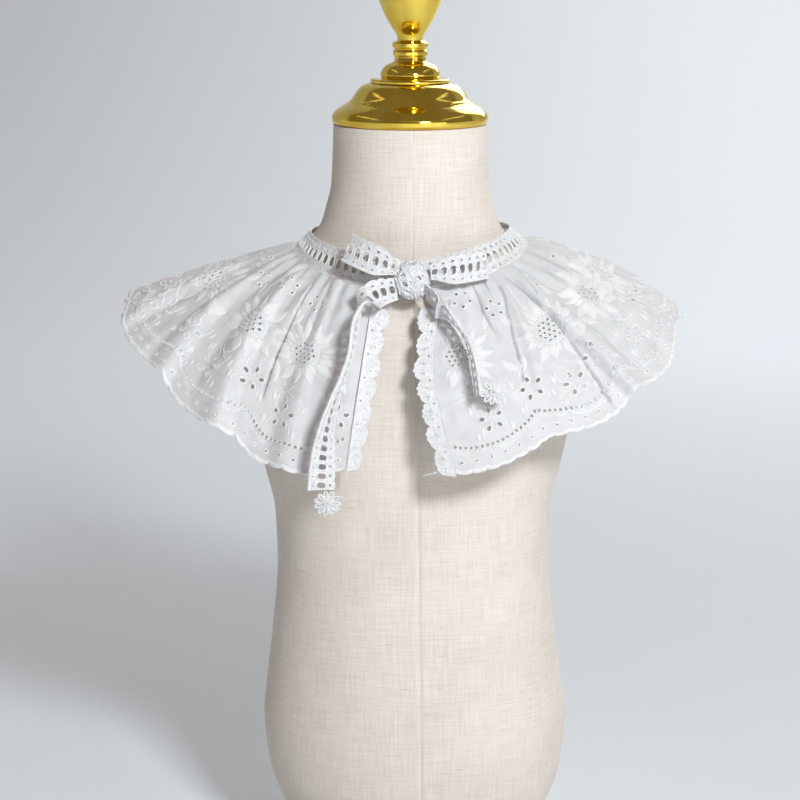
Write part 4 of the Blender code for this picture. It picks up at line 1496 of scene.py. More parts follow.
@dataclass
class Tie(Ribbon):
    """A free end of the tie along its route, drawn together by the knot.

    Each point of the route is x, y, z and the direction in which the strip's width runs.
    """

    route: Sequence[tuple[float, ...]]
    pinch: float = 0.8
    pinch_length: float = 0.014
    width: float = LACE_WIDTH

    def __post_init__(self) -> None:
        """Measures the route."""
        self.stride = measured(np.array(self.route)[:, :3])
        self.length = float(self.stride[-1])

    def frame(self, along: Array) -> tuple[Array, Array, Array, Array]:
        """Middle, width direction, facing and forward direction of the route.

        Args:
            along: metres along.

        Returns:
            Four arrays of places and directions.
        """
        table = np.array(self.route)
        curve = np.stack([smooth(self.stride, table[:, col], along) for col in range(6)], -1)
        step = 0.0004
        ahead = np.minimum(along + step, self.length)
        behind = np.maximum(along - step, 0.0)
        forward = unit(np.stack([smooth(self.stride, table[:, col], ahead)
            - smooth(self.stride, table[:, col], behind) for col in range(3)], -1))
        upward = curve[..., 3:]
        upward = unit(upward - forward * np.sum(upward * forward, axis=-1, keepdims=True))
        return curve[..., :3], upward, np.cross(forward, upward), forward

    def drawn(self, along: Array) -> Array:
        """The share of its width that the strip keeps."""
        return self.pinch + (1.0 - self.pinch) * ease(along / self.pinch_length)

    def points(self, along: Array, across: Array, height: Array) -> Array:
        """Points of the strip."""
        middle, upward, facing, _ = self.frame(along)
        aside = (across - 0.5 * self.width) * self.drawn(along)
        return middle + upward * aside[..., None] + facing * height[..., None]


@dataclass
class Loop(Tie):
    """A loop of the bow: the tie runs out, turns over at the tip and comes back behind."""

    pinch: float = 0.55
    half_gap: float = 0.001
    puff: float = 0.0008
    middle: float = 0.0005
    short: float = 0.0026

    def __post_init__(self) -> None:
        """Measures the way out, the turn and the way back, which ends short to match windows."""
        super().__post_init__()
        self.reach = self.length
        self.turn_length = math.pi * (self.half_gap + self.middle)
        self.length = 2.0 * self.reach + self.turn_length - self.short

    def points(self, along: Array, across: Array, height: Array) -> Array:
        """Points of the strip, heights outward from the loop."""
        turn = np.clip((along - self.reach) / self.turn_length, 0.0, 1.0) * math.pi
        out = np.clip(np.where(along < self.reach + 0.5 * self.turn_length, along,
            2.0 * self.reach + self.turn_length - along), 0.0, self.reach)
        whole, self.length = self.length, self.reach
        middle, upward, facing, forward = self.frame(out)
        self.length = whole
        toward = np.where(facing[..., 1:2] < 0.0, facing, -facing)
        apart = self.half_gap + self.puff * np.sin(np.pi * out / self.reach) + self.middle + height
        aside = (across - 0.5 * self.width) * self.drawn(out)
        return (middle + upward * aside[..., None] + toward * (np.cos(turn) * apart)[..., None]
            + forward * (np.sin(turn) * apart)[..., None])


@dataclass
class KnotWrap(Ribbon):
    """A turn of the strip round the knot's lump, slanting across its front."""

    middle: Triple
    size: Triple
    run: Triple
    aside: float
    width: float = LACE_WIDTH
    drawn: float = 0.68
    length: float = 0.036
    proud: float = 0.0006
    sweep: float = 205.0
    ball: float = 0.0095
    crumple: float = 0.00035

    def points(self, along: Array, across: Array, height: Array) -> Array:
        """Points on an ellipsoid: turned along the run, spread along its axis."""
        run = unit(np.array(self.run))
        front = np.array((0.0, -1.0, 0.0))
        axis = np.cross(front, run)
        turn = (along / self.length - 0.5) * math.radians(self.sweep)
        spread = (self.aside + (across - 0.5 * self.width) * self.drawn) / self.ball
        ball = (run * (np.sin(turn) * np.cos(spread))[..., None] + axis * np.sin(spread)[..., None]
            + front * (np.cos(turn) * np.cos(spread))[..., None])
        half = 0.5 * np.array(self.size)
        crumple = self.crumple * np.sin(across * 2300.0 + 3.0 * np.sin(along * 260.0))
        grow = 1.0 + (self.proud + height + crumple) / half.mean()
        return np.array(self.middle) + ball * half * grow[..., None]


class Hole(NamedTuple):
    """A hole of the lace: metres across to its middle, half sizes, points, roundness, its hoop."""

    across: float
    half: Pair
    count: int
    roundness: float
    cord: float
    raised: float


@dataclass
class LadderLace:
    """Ladder lace: a tape border, a row of windows between slanting bars, and a picot border."""

    pitch: float = 0.0053
    width: float = LACE_WIDTH
    holes: tuple[Hole, ...] = tuple(Hole(*row) for row in (
        (0.0078, (0.0016, 0.00255), 20, 3.2, 0.0005, 0.00062),
        (0.0131, (0.0008, 0.0008), 12, 2.0, 0.00034, 0.0005),
        (0.0022, (0.00055, 0.00055), 10, 2.0, 0.00028, 0.0004)))
    picot: float = 0.0009
    slant: float = 0.16
    half_thickness: float = 0.00022
    clearance: float = 0.0004
    picot_cord: Pair = (0.00045, 0.0005)
    foot: Triple = (0.0003, 0.0009, 0.0009)
    rib: Triple = (0.004, 0.0003, 0.00042)
    filled: float = 0.7

    def ring(self, hole: Hole, grow: float = 0.0) -> Array:
        """A rounded ring of xy rows about a hole, leaning with the bars.

        Args:
            hole: the hole.
            grow: metres by which the ring is wider.

        Returns:
            xy rows in the first pitch.
        """
        cosine, sine = (bent(part, 2.0 / hole.roundness) for part in oval(hole.count))
        y = (hole.half[1] + grow) * sine
        x = 0.5 * self.pitch + (hole.half[0] + grow) * cosine + self.slant * y
        return np.stack([x, hole.across + y], -1)

    def edge(self, along: Array) -> Array:
        """The upper edge, one picot for each pitch."""
        return self.width + self.picot * (np.abs(np.sin(np.pi * along / self.pitch)) ** 0.7 - 0.4)

    def unit_cell(self) -> tuple[Array, Array]:
        """One pitch of the flat strip, pierced, and its triangles."""
        steps = np.linspace(0.0, self.pitch, 9)
        lower = np.stack([steps, np.zeros(9)], -1)
        right = np.linspace(0.0, 1.0, 17)[1:-1]
        heights = right * self.edge(np.array(0.0))
        upper = np.stack([steps[::-1], self.edge(steps[::-1])], -1)
        outline = np.concatenate([lower, np.stack([np.full(15, self.pitch), heights], -1), upper,
            np.stack([np.zeros(15), heights[::-1]], -1)])
        holes = [self.ring(hole) for hole in self.holes]
        x, y = np.meshgrid(np.linspace(0.0, self.pitch, 7)[1:-1],
            np.linspace(0.0, self.width, 17)[1:-1], indexing="ij")
        inside = np.stack([x.ravel(), y.ravel()], -1)
        clear = np.ones(len(inside), dtype=bool)
        for hole in holes:
            reach = np.ptp(hole, axis=0) * 0.5 + self.clearance
            share = (inside - hole.mean(axis=0)) / reach
            clear &= np.sum(np.abs(share) ** 3.0, axis=1) > 1.0
        return pierced(outline, holes, inside[clear])

    def units(self, ribbon: Ribbon) -> tuple[int, float]:
        """How many pitches fit a strip, and how much they stretch."""
        count = max(int(round(ribbon.length / self.pitch)), 1)
        return count, ribbon.length / (count * self.pitch)

    def cloth(self, ribbon: Ribbon) -> Shape:
        """The pierced strip, one cell repeated along the ribbon and joined.

        Args:
            ribbon: where it runs.

        Returns:
            The strip as a thin shell.
        """
        flat, triangles = self.unit_cell()
        count, stretch = self.units(ribbon)
        start = np.arange(count)[:, None, None] * np.array((self.pitch, 0.0))
        places = (flat[None] + start).reshape(-1, 2)
        number = (triangles[None] + np.arange(count)[:, None, None] * len(flat)).reshape(-1, 3)
        key = np.round(places * 1e6).astype(np.int64)
        _, first, back = np.unique(key, axis=0, return_index=True, return_inverse=True)
        places, number = places[first], back.reshape(-1)[number]
        along, across = places[:, 0] * stretch, places[:, 1]
        height = np.full_like(along, self.half_thickness)
        return shell(ribbon.points(along, across, -height), ribbon.points(along, across, height),
            number, places)

    def hoops(self, ribbon: Ribbon, hole: Hole) -> Shape:
        """Raised hoops round one hole of each pitch.

        Args:
            ribbon: the strip.
            hole: the hole, with half the hoop's width and height.

        Returns:
            The hoops.
        """
        count, stretch = self.units(ribbon)
        cosine, sine = oval(6)
        rings = np.stack([self.ring(hole, hole.cord * (0.8 + part)) for part in cosine], 1)
        start = np.arange(count)[:, None, None] * self.pitch
        along = (rings[None, ..., 0] + start) * stretch
        across = np.broadcast_to(rings[None, ..., 1], along.shape)
        height = np.broadcast_to(hole.raised * sine, along.shape)
        return loft(ribbon.points(along, across, height), closed=True)

    def line(self, ribbon: Ribbon, across_at: Callable[[Array], Array], radius: float,
            raised: float) -> Shape:
        """A cord along the whole strip.

        Args:
            ribbon: the strip.
            across_at: a function from metres along to metres across.
            radius: half the cord's width.
            raised: half its height.

        Returns:
            The cord.
        """
        count, stretch = self.units(ribbon)
        along = np.linspace(0.0, count * self.pitch, count * 8 + 1)[:, None]
        cosine, sine = oval(6)
        across = across_at(along) + radius * cosine
        full = along * stretch + 0.0 * cosine
        height = np.broadcast_to(raised * sine, full.shape)
        return loft(ribbon.points(full, across, height)[None])

    def cords(self, ribbon: Ribbon) -> Shape:
        """Raised work: hoops round the holes, cords along both borders and the picots.

        Args:
            ribbon: where it runs.

        Returns:
            The cords.
        """
        shapes = [self.hoops(ribbon, hole) for hole in self.holes]
        shapes.append(self.line(ribbon, self.edge, *self.picot_cord))
        for across, radius, raised in (self.foot, self.rib):
            shapes.append(self.line(ribbon, lambda along: across + 0.0 * along, radius, raised))
        return Shape.joined(shapes)

    def build(self, name: str, ribbon: Ribbon, finishes: "Finishes", replaces: str | None = None,
            flat: Pair | None = None, held: str = "gathered") -> None:
        """Args:
            name: the pieces' name stem.
            ribbon: where it runs.
            finishes: the materials.
            replaces: the CAD node that it stands for.
            flat: its cut, or None where another piece's cut covers it.
            held: not used.
        """
        cloth = self.cloth(ribbon).build(name + "_lace", finishes.lace)
        cords = self.cords(ribbon).build(name + "_cords", finishes.thread)
        dress(cords, Slot.LACE)
        dress(cloth, Slot.LACE, *([replaces] if replaces else []))
        if flat:
            self.filled * flat[0] * flat[1]


@dataclass
class Bow:
    """Neckband, loops, tails and knot, all of one ladder lace.

    Bands have a name and two angles, ties a name, kind, hold and route, wraps a run and a shift.
    """

    surface: CapeSurface
    lace: LadderLace = field(default_factory=LadderLace)
    knot_middle: Triple = (0.0012, -0.0706, 0.3658)
    knot_size: Triple = (0.0185, 0.0125, 0.0205)
    bands: tuple = (("neckband_right", 3.2, 179.85), ("neckband_left", 356.8, 180.15))
    band_cut: float = 0.21
    ties: tuple = (
        ("loop_left", Loop, "folded", (
        (-0.0069, -0.0715, 0.3729, 0.36, 0, 0.93), (-0.018, -0.0715, 0.3764, 0.42, 0, 0.91),
        (-0.028, -0.0685, 0.38, 0.46, 0, 0.88), (-0.0352, -0.0635, 0.3828, 0.48, 0, 0.87))),
        ("loop_right", Loop, "folded", (
        (0.0111, -0.072, 0.3706, -0.02, 0, 1), (0.022, -0.0712, 0.3716, -0.06, 0, 1),
        (0.034, -0.0662, 0.3724, -0.12, 0, 0.99), (0.043, -0.0602, 0.3731, -0.17, 0, 0.98))),
        ("tail_left", Tie, "hung", ((-0.0082, -0.0718, 0.3606, 0.2, 0.1, 0.97),
        (-0.0185, -0.0765, 0.3588, 0.35, 0.3, 0.89), (-0.0262, -0.0822, 0.3535, 0.42, 0.75, 0.55),
        (-0.0312, -0.0878, 0.344, 0.25, 0.97, 0.2), (-0.0336, -0.0933, 0.3293, 0.2, 0.98, 0.12),
        (-0.038, -0.099, 0.3148, 0.26, 0.95, 0.1), (-0.0428, -0.1048, 0.3024, 0.34, 0.92, 0.1),
        (-0.0476, -0.111, 0.2866, 0.52, 0.84, 0.1),
        (-0.05, -0.114, 0.2697, 0.8, 0.58, 0.04), (-0.051, -0.1145, 0.252, 0.93, 0.35, 0.02))),
        ("tail_right", Tie, "hung", ((0.0087, -0.0728, 0.3592, -0.5, 0.05, 0.86),
        (0.016, -0.08, 0.354, -0.62, 0.35, 0.7), (0.024, -0.0874, 0.3455, -0.4, 0.86, 0.25),
        (0.0318, -0.093, 0.3345, -0.22, 0.96, 0.1), (0.0352, -0.097, 0.3247, -0.16, 0.98, 0.02),
        (0.037, -0.101, 0.3139, -0.16, 0.98, 0.02), (0.0382, -0.104, 0.304, -0.18, 0.98, 0.02))))
    wraps: tuple = (((0.46, 0.0, -0.89), 0.003), ((0.3, 0.0, -0.95), -0.0048))
    wrap_cut: float = 0.035

    def lump(self) -> Shape:
        """The knot's heart: an ellipsoid wound round with slanting strands."""
        level, turn = np.meshgrid(np.linspace(0.97, 0.03, 48) * math.pi,
            np.arange(72) * (2.0 * math.pi / 72), indexing="ij")
        strand = np.cos(6.0 * (turn * 0.5 + level))
        fine = np.sin(22.0 * (turn * 0.5 + level))
        size = 0.5 * (0.93 + (0.1 * strand + 0.018 * fine) * np.sin(level))
        around = np.abs(np.sin(level)) ** 0.75
        x = self.knot_size[0] * size * around * np.sin(turn)
        y = -self.knot_size[1] * size * around * np.cos(turn)
        z = self.knot_size[2] * 0.5 * 0.95 * np.cos(level)
        return loft((np.stack([x, y, z], -1) + np.array(self.knot_middle))[None])

    def build(self, finishes: "Finishes") -> None:
        """Builds every strip of the bow and its knot."""
        for name, start, end in self.bands:
            band = BandRibbon(self.surface, start, end)
            self.lace.build(name, band, finishes, name, (LACE_WIDTH, self.band_cut))
        for name, kind, held, route in self.ties:
            tie = kind(route)
            self.lace.build(name, tie, finishes, name, (LACE_WIDTH, round(tie.length, 3)), held)
        dress(self.lump().build("knot_heart", finishes.lace), Slot.LACE, "knot")
        for number, (run, aside) in enumerate(self.wraps):
            wrap = KnotWrap(self.knot_middle, self.knot_size, run, aside)
            self.lace.build(f"knot_wrap_{number}", wrap, finishes, None,
                (LACE_WIDTH, self.wrap_cut), "folded")


# Crochet


@dataclass
class TrimRibbon(Ribbon):
    """A strip carried on from the cape's front edge."""

    surface: CapeSurface
    edge: float
    way: float
    turns: Pair
    span: Pair = (0.11, 1.03)
    middle: float = 0.0008

    def __post_init__(self) -> None:
        """Measures the strip."""
        self.length = (self.span[1] - self.span[0]) * self.surface.slant

    def points(self, along: Array, across: Array, height: Array) -> Array:
        """Points of the strip, heights off its middle."""
        down = self.span[0] + (self.span[1] - self.span[0]) * along / self.length
        edge = np.full_like(down, self.edge)
        lift = self.surface.lift(edge, np.clip(down, 0.0, 1.0))
        outward = self.surface.outward(edge, down)
        base = self.surface.base(edge, down)
        sideways = unit(self.surface.base(edge + self.way * 0.002, down) - base)
        turn = np.radians(self.turns[0] + (self.turns[1] - self.turns[0]) * down)[..., None]
        flat = np.cos(turn) * sideways - np.sin(turn) * outward
        square = np.cos(turn) * outward + np.sin(turn) * sideways
        return base + outward * lift[..., None] + flat * across[..., None] \
            + square * (self.middle + height)[..., None]


@dataclass
class FrontTrim:
    """Crochet trim down a front edge: a strip with a row of corded fans."""

    strip: float = 0.005
    fan: float = 0.006
    fans: int = 7
    ribs: int = 5
    valley: float = 0.0026
    holes: tuple = ((0.0, 0.0026), (0.32, 0.006), (0.5, 0.0028), (0.68, 0.006))
    hole: Pair = (0.0006, 0.0008)
    hole_clearance: float = 0.0013
    grid: float = 0.0011
    half_thickness: float = 0.00045
    border: float = 0.0006
    foot: Pair = (0.0006, 0.0006)
    row: Pair = (0.0021, 0.0004)
    edge: Pair = (0.0004, 0.00055)
    rib_reach: float = 0.0072
    rib_lean: float = 62.0
    rib_swell: float = 0.0007
    rib_lift: float = 0.0003

    def reach(self, share: Array) -> Array:
        """The outer edge, by a count of fans: a full round arch for each, with small picots.

        Args:
            share: fans from the start.

        Returns:
            Metres across.
        """
        arch = np.abs(np.sin(np.pi * share)) ** 0.6
        full = self.fan - self.valley + 0.0006 * np.sin(2.7 * share)
        return self.strip + self.valley + full * arch \
            + 0.0005 * np.sin(2.0 * np.pi * 4.0 * share + 0.8 * np.sin(share)) * arch

    def shape(self, ribbon: Ribbon) -> tuple[Shape, Shape]:
        """The pierced base and its cords.

        Args:
            ribbon: where the trim runs.

        Returns:
            The base, and cords along the strip, round each fan and up its ribs.
        """
        pitch = ribbon.length / self.fans
        along = np.linspace(0.0, ribbon.length, self.fans * 20 + 1)
        outer = np.stack([along[::-1], self.reach(along[::-1] / pitch)], -1)
        inner = np.stack([along, np.full_like(along, 0.0003)], -1)
        shares, heights = np.array(self.holes).T
        middles = (np.arange(self.fans)[:, None] + shares).ravel() * pitch
        ups = np.tile(heights, self.fans)
        cosine, sine = oval(8)
        rings = [np.stack([x + self.hole[0] * cosine, y + self.hole[1] * sine], -1)
            for x, y in zip(middles[1:], ups[1:])]
        grid_x, grid_y = np.meshgrid(np.arange(0.0008, ribbon.length - self.border, self.grid),
            np.arange(0.0014, 0.01, self.grid), indexing="ij")
        clear = grid_y < self.reach(grid_x / pitch) - 0.0007
        for x, y in zip(middles, ups):
            clear &= np.hypot(grid_x - x, grid_y - y) > self.hole_clearance
        flat, triangles = pierced(np.concatenate([inner, outer]), rings,
            np.stack([grid_x[clear], grid_y[clear]], -1))
        thick = np.full(len(flat), self.half_thickness)
        base = shell(ribbon.points(flat[:, 0], flat[:, 1], -thick),
            ribbon.points(flat[:, 0], flat[:, 1], thick), triangles, flat)
        return base, self.cords(ribbon, pitch)

    def cords(self, ribbon: Ribbon, pitch: float) -> Shape:
        """Cords along the strip, round each fan and up its ribs.

        Args:
            ribbon: where it runs.
            pitch: metres for each fan.

        Returns:
            The cords.
        """
        cosine, sine = oval(6)
        shapes = []
        along = np.linspace(0.0, ribbon.length, self.fans * 20 + 1)[:, None]
        for across, radius in ((self.foot[0] + 0.0 * along, self.foot[1]),
                (self.row[0] + 0.0 * along, self.row[1]),
                (self.reach(along / pitch) - self.edge[0], self.edge[1])):
            full = along + 0.0 * cosine
            shapes.append(loft(ribbon.points(full, across + radius * cosine,
                1.35 * radius * sine + 0.0 * full)[None]))
        share = np.linspace(0.0, 1.0, 8)[None, None, :, None]
        lean = np.linspace(-self.rib_lean, self.rib_lean, self.ribs)
        lean = np.radians(lean)[None, :, None, None]
        middle = ((np.arange(self.fans) + 0.5) * pitch)[:, None, None, None]
        reach = self.rib_reach * (1.0 - 0.1 * np.abs(np.sin(lean)))
        swell = self.rib_swell * np.sin(np.pi * (0.12 + 0.76 * share))
        swell = swell * (1.0 + 0.25 * np.sin(19.0 * share))
        x = middle + np.sin(lean) * reach * share + np.cos(lean) * swell * cosine
        y = self.valley + np.cos(lean) * reach * share - np.sin(lean) * swell * cosine
        height = self.rib_lift + 1.05 * swell * sine + 0.0 * x
        x, y = np.broadcast_arrays(x, y)
        rings = ribbon.points(x, y, height)
        shapes.append(loft(rings.reshape(-1, 8, 6, 3)))
        return Shape.joined(shapes)

    def build(self, name: str, ribbon: Ribbon, finishes: "Finishes") -> None:
        """Builds one trim in place of its node.

        Args:
            name: the node.
            ribbon: where it runs.
            finishes: the materials.
        """
        base, cords = self.shape(ribbon)
        sheet = base.build(name + "_base", finishes.lace)
        raised = cords.build(name + "_cords", finishes.thread)
        dress(sheet, Slot.LACE, name)
        dress(raised, Slot.LACE)


@dataclass
class Daisy:
    """A small crochet flower of looped petals, facing the front."""

    middle: Triple
    radius: float = 0.008
    petals: int = 11
    cord: float = 0.00058
    tilt: float = 8.0
    root: float = 0.0018
    petal_half_width: float = 0.00125
    curl: float = 0.0005
    coil: Pair = (0.0022, 0.0018)
    coil_turn: float = 4.0 * math.pi
    coil_cord: Pair = (0.0005, 0.0006)
    back: float = 0.0048

    def place(self, x: Array, y: Array, height: Array) -> Array:
        """Points on the flower: x to the right, y up, heights toward the front.

        Args:
            x: metres.
            y: metres.
            height: metres.

        Returns:
            Places from the form's axis.
        """
        tilt = math.radians(self.tilt)
        up = np.array((0.0, -math.sin(tilt), math.cos(tilt)))
        front = np.array((0.0, -math.cos(tilt), -math.sin(tilt)))
        right = np.array((1.0, 0.0, 0.0))
        return np.array(self.middle) + right * x[..., None] + up * y[..., None] \
            + front * height[..., None]

    def shape(self) -> Shape:
        """Petals as closed cord loops, a coiled middle and a thin back."""
        turn = (np.arange(self.petals) * (2.0 * math.pi / self.petals))[:, None, None]
        cosine, sine = oval(18)
        section, rise = oval(6)
        far = self.root + (self.radius - 0.0026) * (0.5 + 0.5 * cosine)
        aside = self.petal_half_width * sine * (0.45 + 0.55 * (0.5 + 0.5 * cosine))
        heading = np.hypot(np.gradient(far), np.gradient(aside))
        normal_far, normal_aside = np.gradient(aside) / heading, -np.gradient(far) / heading
        along = far[None, :, None] + self.cord * normal_far[None, :, None] * section
        side = aside[None, :, None] + self.cord * normal_aside[None, :, None] * section
        x = along * np.cos(turn) - side * np.sin(turn)
        y = along * np.sin(turn) + side * np.cos(turn)
        curl = self.curl * np.cos(3.0 * turn) + 0.0 * x
        petals = loft(self.place(x, y, curl + 0.9 * self.cord * rise + 0.0 * x), closed=True)
        coil = np.linspace(0.0, self.coil_turn, 60)[:, None]
        grow = self.coil[0] - self.coil[1] * coil / self.coil_turn
        x = (grow + self.coil_cord[0] * section) * np.cos(coil)
        y = (grow + self.coil_cord[0] * section) * np.sin(coil)
        lift = 0.0008 + 0.0004 * coil / 12.0 + self.coil_cord[1] * rise + 0.0 * x
        heart = loft(self.place(x, y, lift)[None])
        levels = np.array((0.0, 0.9, 1.0, 0.9, 0.0))
        depth = np.array((-0.00055, -0.00055, -0.0003, -0.00005, -0.00005))
        cosine, sine = oval(24)
        size = (self.back * levels)[:, None] + 0.00005
        back = loft(self.place(size * cosine, size * sine, depth[:, None] + 0.0 * cosine)[None])
        return Shape.joined([petals, heart, back])

    def build(self, name: str, finishes: "Finishes") -> None:
        """Builds the flower in place of its node."""
        dress(self.shape().build(name + "_daisy", finishes.thread), Slot.LACE, name)


@dataclass
class ThreadEnds:
    """Loose thread ends, each a thin curved cord from one point to another."""

    radius: float = 0.00022
    ends: tuple = (((0.0035, -0.076, 0.356), (0.0075, -0.077, 0.3525), (0.0012, -0.076, 0.3535)),
        ((0.013, -0.1085, 0.2612), (0.007, -0.112, 0.2598), (0.019, -0.112, 0.2622)),
        ((0.0065, -0.102, 0.3165), (0.002, -0.105, 0.318), (0.009, -0.104, 0.315)),
        ((-0.0425, -0.1175, 0.2485), (-0.0375, -0.1195, 0.248), (-0.04, -0.1185, 0.25)),)

    def shape(self) -> Shape:
        """Curved cords: quadratic arcs from start to end, pulled to a middle point."""
        share = np.linspace(0.0, 1.0, 14)[None, :, None]
        start, end, pull = (np.array(rows)[:, None] for rows in zip(*self.ends))
        line = (1 - share) ** 2 * start + 2 * share * (1 - share) * pull + share**2 * end
        forward = unit(np.gradient(line, axis=1))
        side = unit(np.cross(forward, np.array((0.0, 0.3, 1.0))))
        lift = np.cross(side, forward)
        cosine, sine = oval(6)
        rings = line[:, :, None] + self.radius * (side[:, :, None] * cosine[:, None]
            + lift[:, :, None] * sine[:, None])
        return loft(rings)


# The form


@dataclass
class Form:
    """The padded torso under its linen cover, with seams down the front, back and sides.

    Each section is a height, half width, half depth, roundness and shift backward.
    """

    sections: tuple[tuple[float, ...], ...] = (
        (0, 0.062, 0.05, 2.1, 0), (0.004, 0.069, 0.056, 2.1, 0), (0.012, 0.0757, 0.062, 2.1, 0),
        (0.0293, 0.083, 0.068, 2.1, 0), (0.054, 0.0908, 0.074, 2.2, 0),
        (0.083, 0.0936, 0.077, 2.2, 0), (0.1114, 0.0907, 0.076, 2.2, 0),
        (0.1404, 0.087, 0.0735, 2.2, 0), (0.1838, 0.0833, 0.07, 2.2, 0),
        (0.2128, 0.0841, 0.07, 2.2, 0), (0.2417, 0.0902, 0.0712, 2.2, 0),
        (0.27, 0.097, 0.072, 2.2, 0), (0.305, 0.107, 0.07, 2.1, 0.001),
        (0.33, 0.111, 0.066, 1.9, 0.002), (0.342, 0.1095, 0.063, 1.75, 0.003),
        (0.3505, 0.1045, 0.06, 1.6, 0.003), (0.358, 0.0967, 0.057, 1.55, 0.003),
        (0.366, 0.083, 0.0545, 1.6, 0.003), (0.3735, 0.0705, 0.0525, 1.7, 0.003),
        (0.382, 0.0596, 0.051, 1.85, 0.003), (0.3884, 0.0542, 0.05, 2, 0.002),
        (0.4, 0.0505, 0.0485, 2, 0.001), (0.415, 0.0472, 0.047, 2, 0),
        (0.4491, 0.0458, 0.0458, 2, 0))
    lean: float = 0.01
    lean_from: float = 0.38
    levels: int = 210
    seams: tuple[float, ...] = (1.5, 90.0, 180.0, 270.0)
    seam_width: float = 0.0007
    seam_depth: float = 0.0005
    neck_from: float = 0.375
    neck_seam: float = 0.25
    neck_fade: float = 0.02
    swell: float = 0.00022
    swell_away: float = 0.0022
    swell_width: float = 0.0016

    def shape(self) -> Shape:
        """Rings through the sections, grooved at the seams.

        Returns:
            The form's skin. Its flat place is metres round the chest from the front, and height.
        """
        columns = [np.array(values) for values in zip(*self.sections)]
        height = np.linspace(0.0, columns[0][-1], self.levels)
        angle = np.linspace(0.0, 360.0, 181)[:-1]
        near = np.concatenate([seam + np.linspace(-1.6, 1.6, 9) for seam in self.seams]) % 360.0
        angle = np.unique(np.round(np.concatenate([angle, near]), 3))
        half_width, half_depth, roundness, backward = (
            smooth(columns[0], values, height)[:, None] for values in columns[1:])
        x, y = ring_place(angle[None], half_width, half_depth, roundness)
        away = np.abs((angle[None, :] - np.array(self.seams)[:, None] + 180.0) % 360.0 - 180.0)
        away = np.radians(away.min(axis=0))[None] * half_width
        groove = self.seam_depth * np.exp(-((away / self.seam_width) ** 2))
        swell = self.swell * np.exp(-(((away - self.swell_away) / self.swell_width) ** 2))
        place = np.stack([x, y], -1)
        up_neck = ease((height[:, None] - self.neck_from) / self.neck_fade)
        shown = 1.0 - (1.0 - self.neck_seam) * up_neck
        place = place + unit(place) * ((swell - groove) * shown)[..., None]
        x, y = place.transpose(2, 0, 1)
        shift = self.lean * np.maximum(self.lean_from - height, 0.0)[:, None]
        rings = np.stack([x + shift, y + backward, np.broadcast_to(height[:, None], x.shape)], -1)
        reach = np.radians((angle + 180.0) % 360.0 - 180.0)[None] * half_width
        flat = np.stack([reach, np.broadcast_to(height[:, None], reach.shape)], -1)
        return loft(rings[None], uv=flat[None])

    def build(self, finishes: "Finishes") -> None:
        """Builds the linen skin in place of the torso's node."""
        dress(self.shape().build("form_linen", finishes.linen), Slot.LINEN, "form_torso")


@dataclass
class Turned:
    """A piece turned on the lathe, by radius and height along its profile."""

    name: str
    profile: Sequence[Pair]
    sides: int = 128
    steps: int = 5

    def build(self, finishes: "Finishes") -> None:
        """Builds it in place of its node, its profile rounded between the given points."""
        radius, height = (np.array(values) for values in zip(*self.profile))
        stride = measured(np.array(self.profile))
        at = np.unique(np.concatenate([
            stride, np.interp(np.linspace(0, len(stride) - 1, len(stride) * self.steps),
            np.arange(len(stride)), stride)]))
        radius, height = smooth(stride, radius, at)[:, None], smooth(stride, height, at)[:, None]
        cosine, sine = oval(self.sides)
        rings = np.stack([radius * cosine, radius * sine, height + 0.0 * cosine], -1)
        flat = np.stack([0.0 * cosine + radius, at[:, None] + 0.0 * cosine], -1)
        made = loft(rings[None], uv=flat[None]).build(self.name + "_gilt", finishes.gilt)
        dress(made, Slot.GILT, self.name)


CAP_PROFILE = (
    (0.0452, 0.4494), (0.0466, 0.451), (0.0469, 0.4532), (0.046, 0.4556), (0.044, 0.4579),
    (0.0405, 0.4602), (0.0371, 0.4622), (0.036, 0.4634), (0.0352, 0.464), (0.0344, 0.465),
    (0.0331, 0.4672), (0.0313, 0.4696), (0.0286, 0.472), (0.0248, 0.4736),)
FINIAL_PROFILE = (
    (0.0236, 0.4739), (0.0238, 0.4752), (0.0228, 0.4762), (0.0171, 0.4764), (0.0178, 0.4787),
    (0.0166, 0.4817), (0.014, 0.4842), (0.011, 0.4856), (0.0095, 0.4868), (0.0094, 0.489),
    (0.0103, 0.4903), (0.0103, 0.492), (0.0094, 0.4934), (0.0106, 0.495), (0.0106, 0.4968),
    (0.0092, 0.498), (0.0075, 0.4989), (0.008, 0.5011), (0.0113, 0.5066), (0.0139, 0.511),
    (0.0171, 0.5177), (0.0192, 0.5235), (0.0204, 0.529), (0.0205, 0.534), (0.0193, 0.54),
    (0.0163, 0.546), (0.0115, 0.55), (0.0055, 0.5522),)


# The picture


@dataclass
class Finishes:
    """The scene's materials, one of each finish."""

    linen: Material
    gilt: Material
    cotton: Material
    lace: Material
    thread: Material
    satin: Material

    @classmethod
    def made(cls) -> "Finishes":
        """Makes every material."""
        return cls(Linen().material(), Gilt().material(), Cotton().material(),
            Thread("lace", (0.74, 0.742, 0.76), (0.57, 0.572, 0.6), 0.8).material(),
            Thread().material(), Satin().material())


def dress(made: Object, slot: Slot, *nodes: str) -> None:
    """Sets a piece on the part, in place of CAD nodes.

    Args:
        made: the piece.
        slot: not used.
        nodes: CAD nodes it stands for.
    """
    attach(made, "root")
    if nodes:
        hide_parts(*nodes)


@dataclass(frozen=True)
class Lamp:
    """A soft rectangular light."""

    name: str
    place: Triple
    target: Triple
    size: float
    power: float
    colour: Colour
    spread: float = 180.0


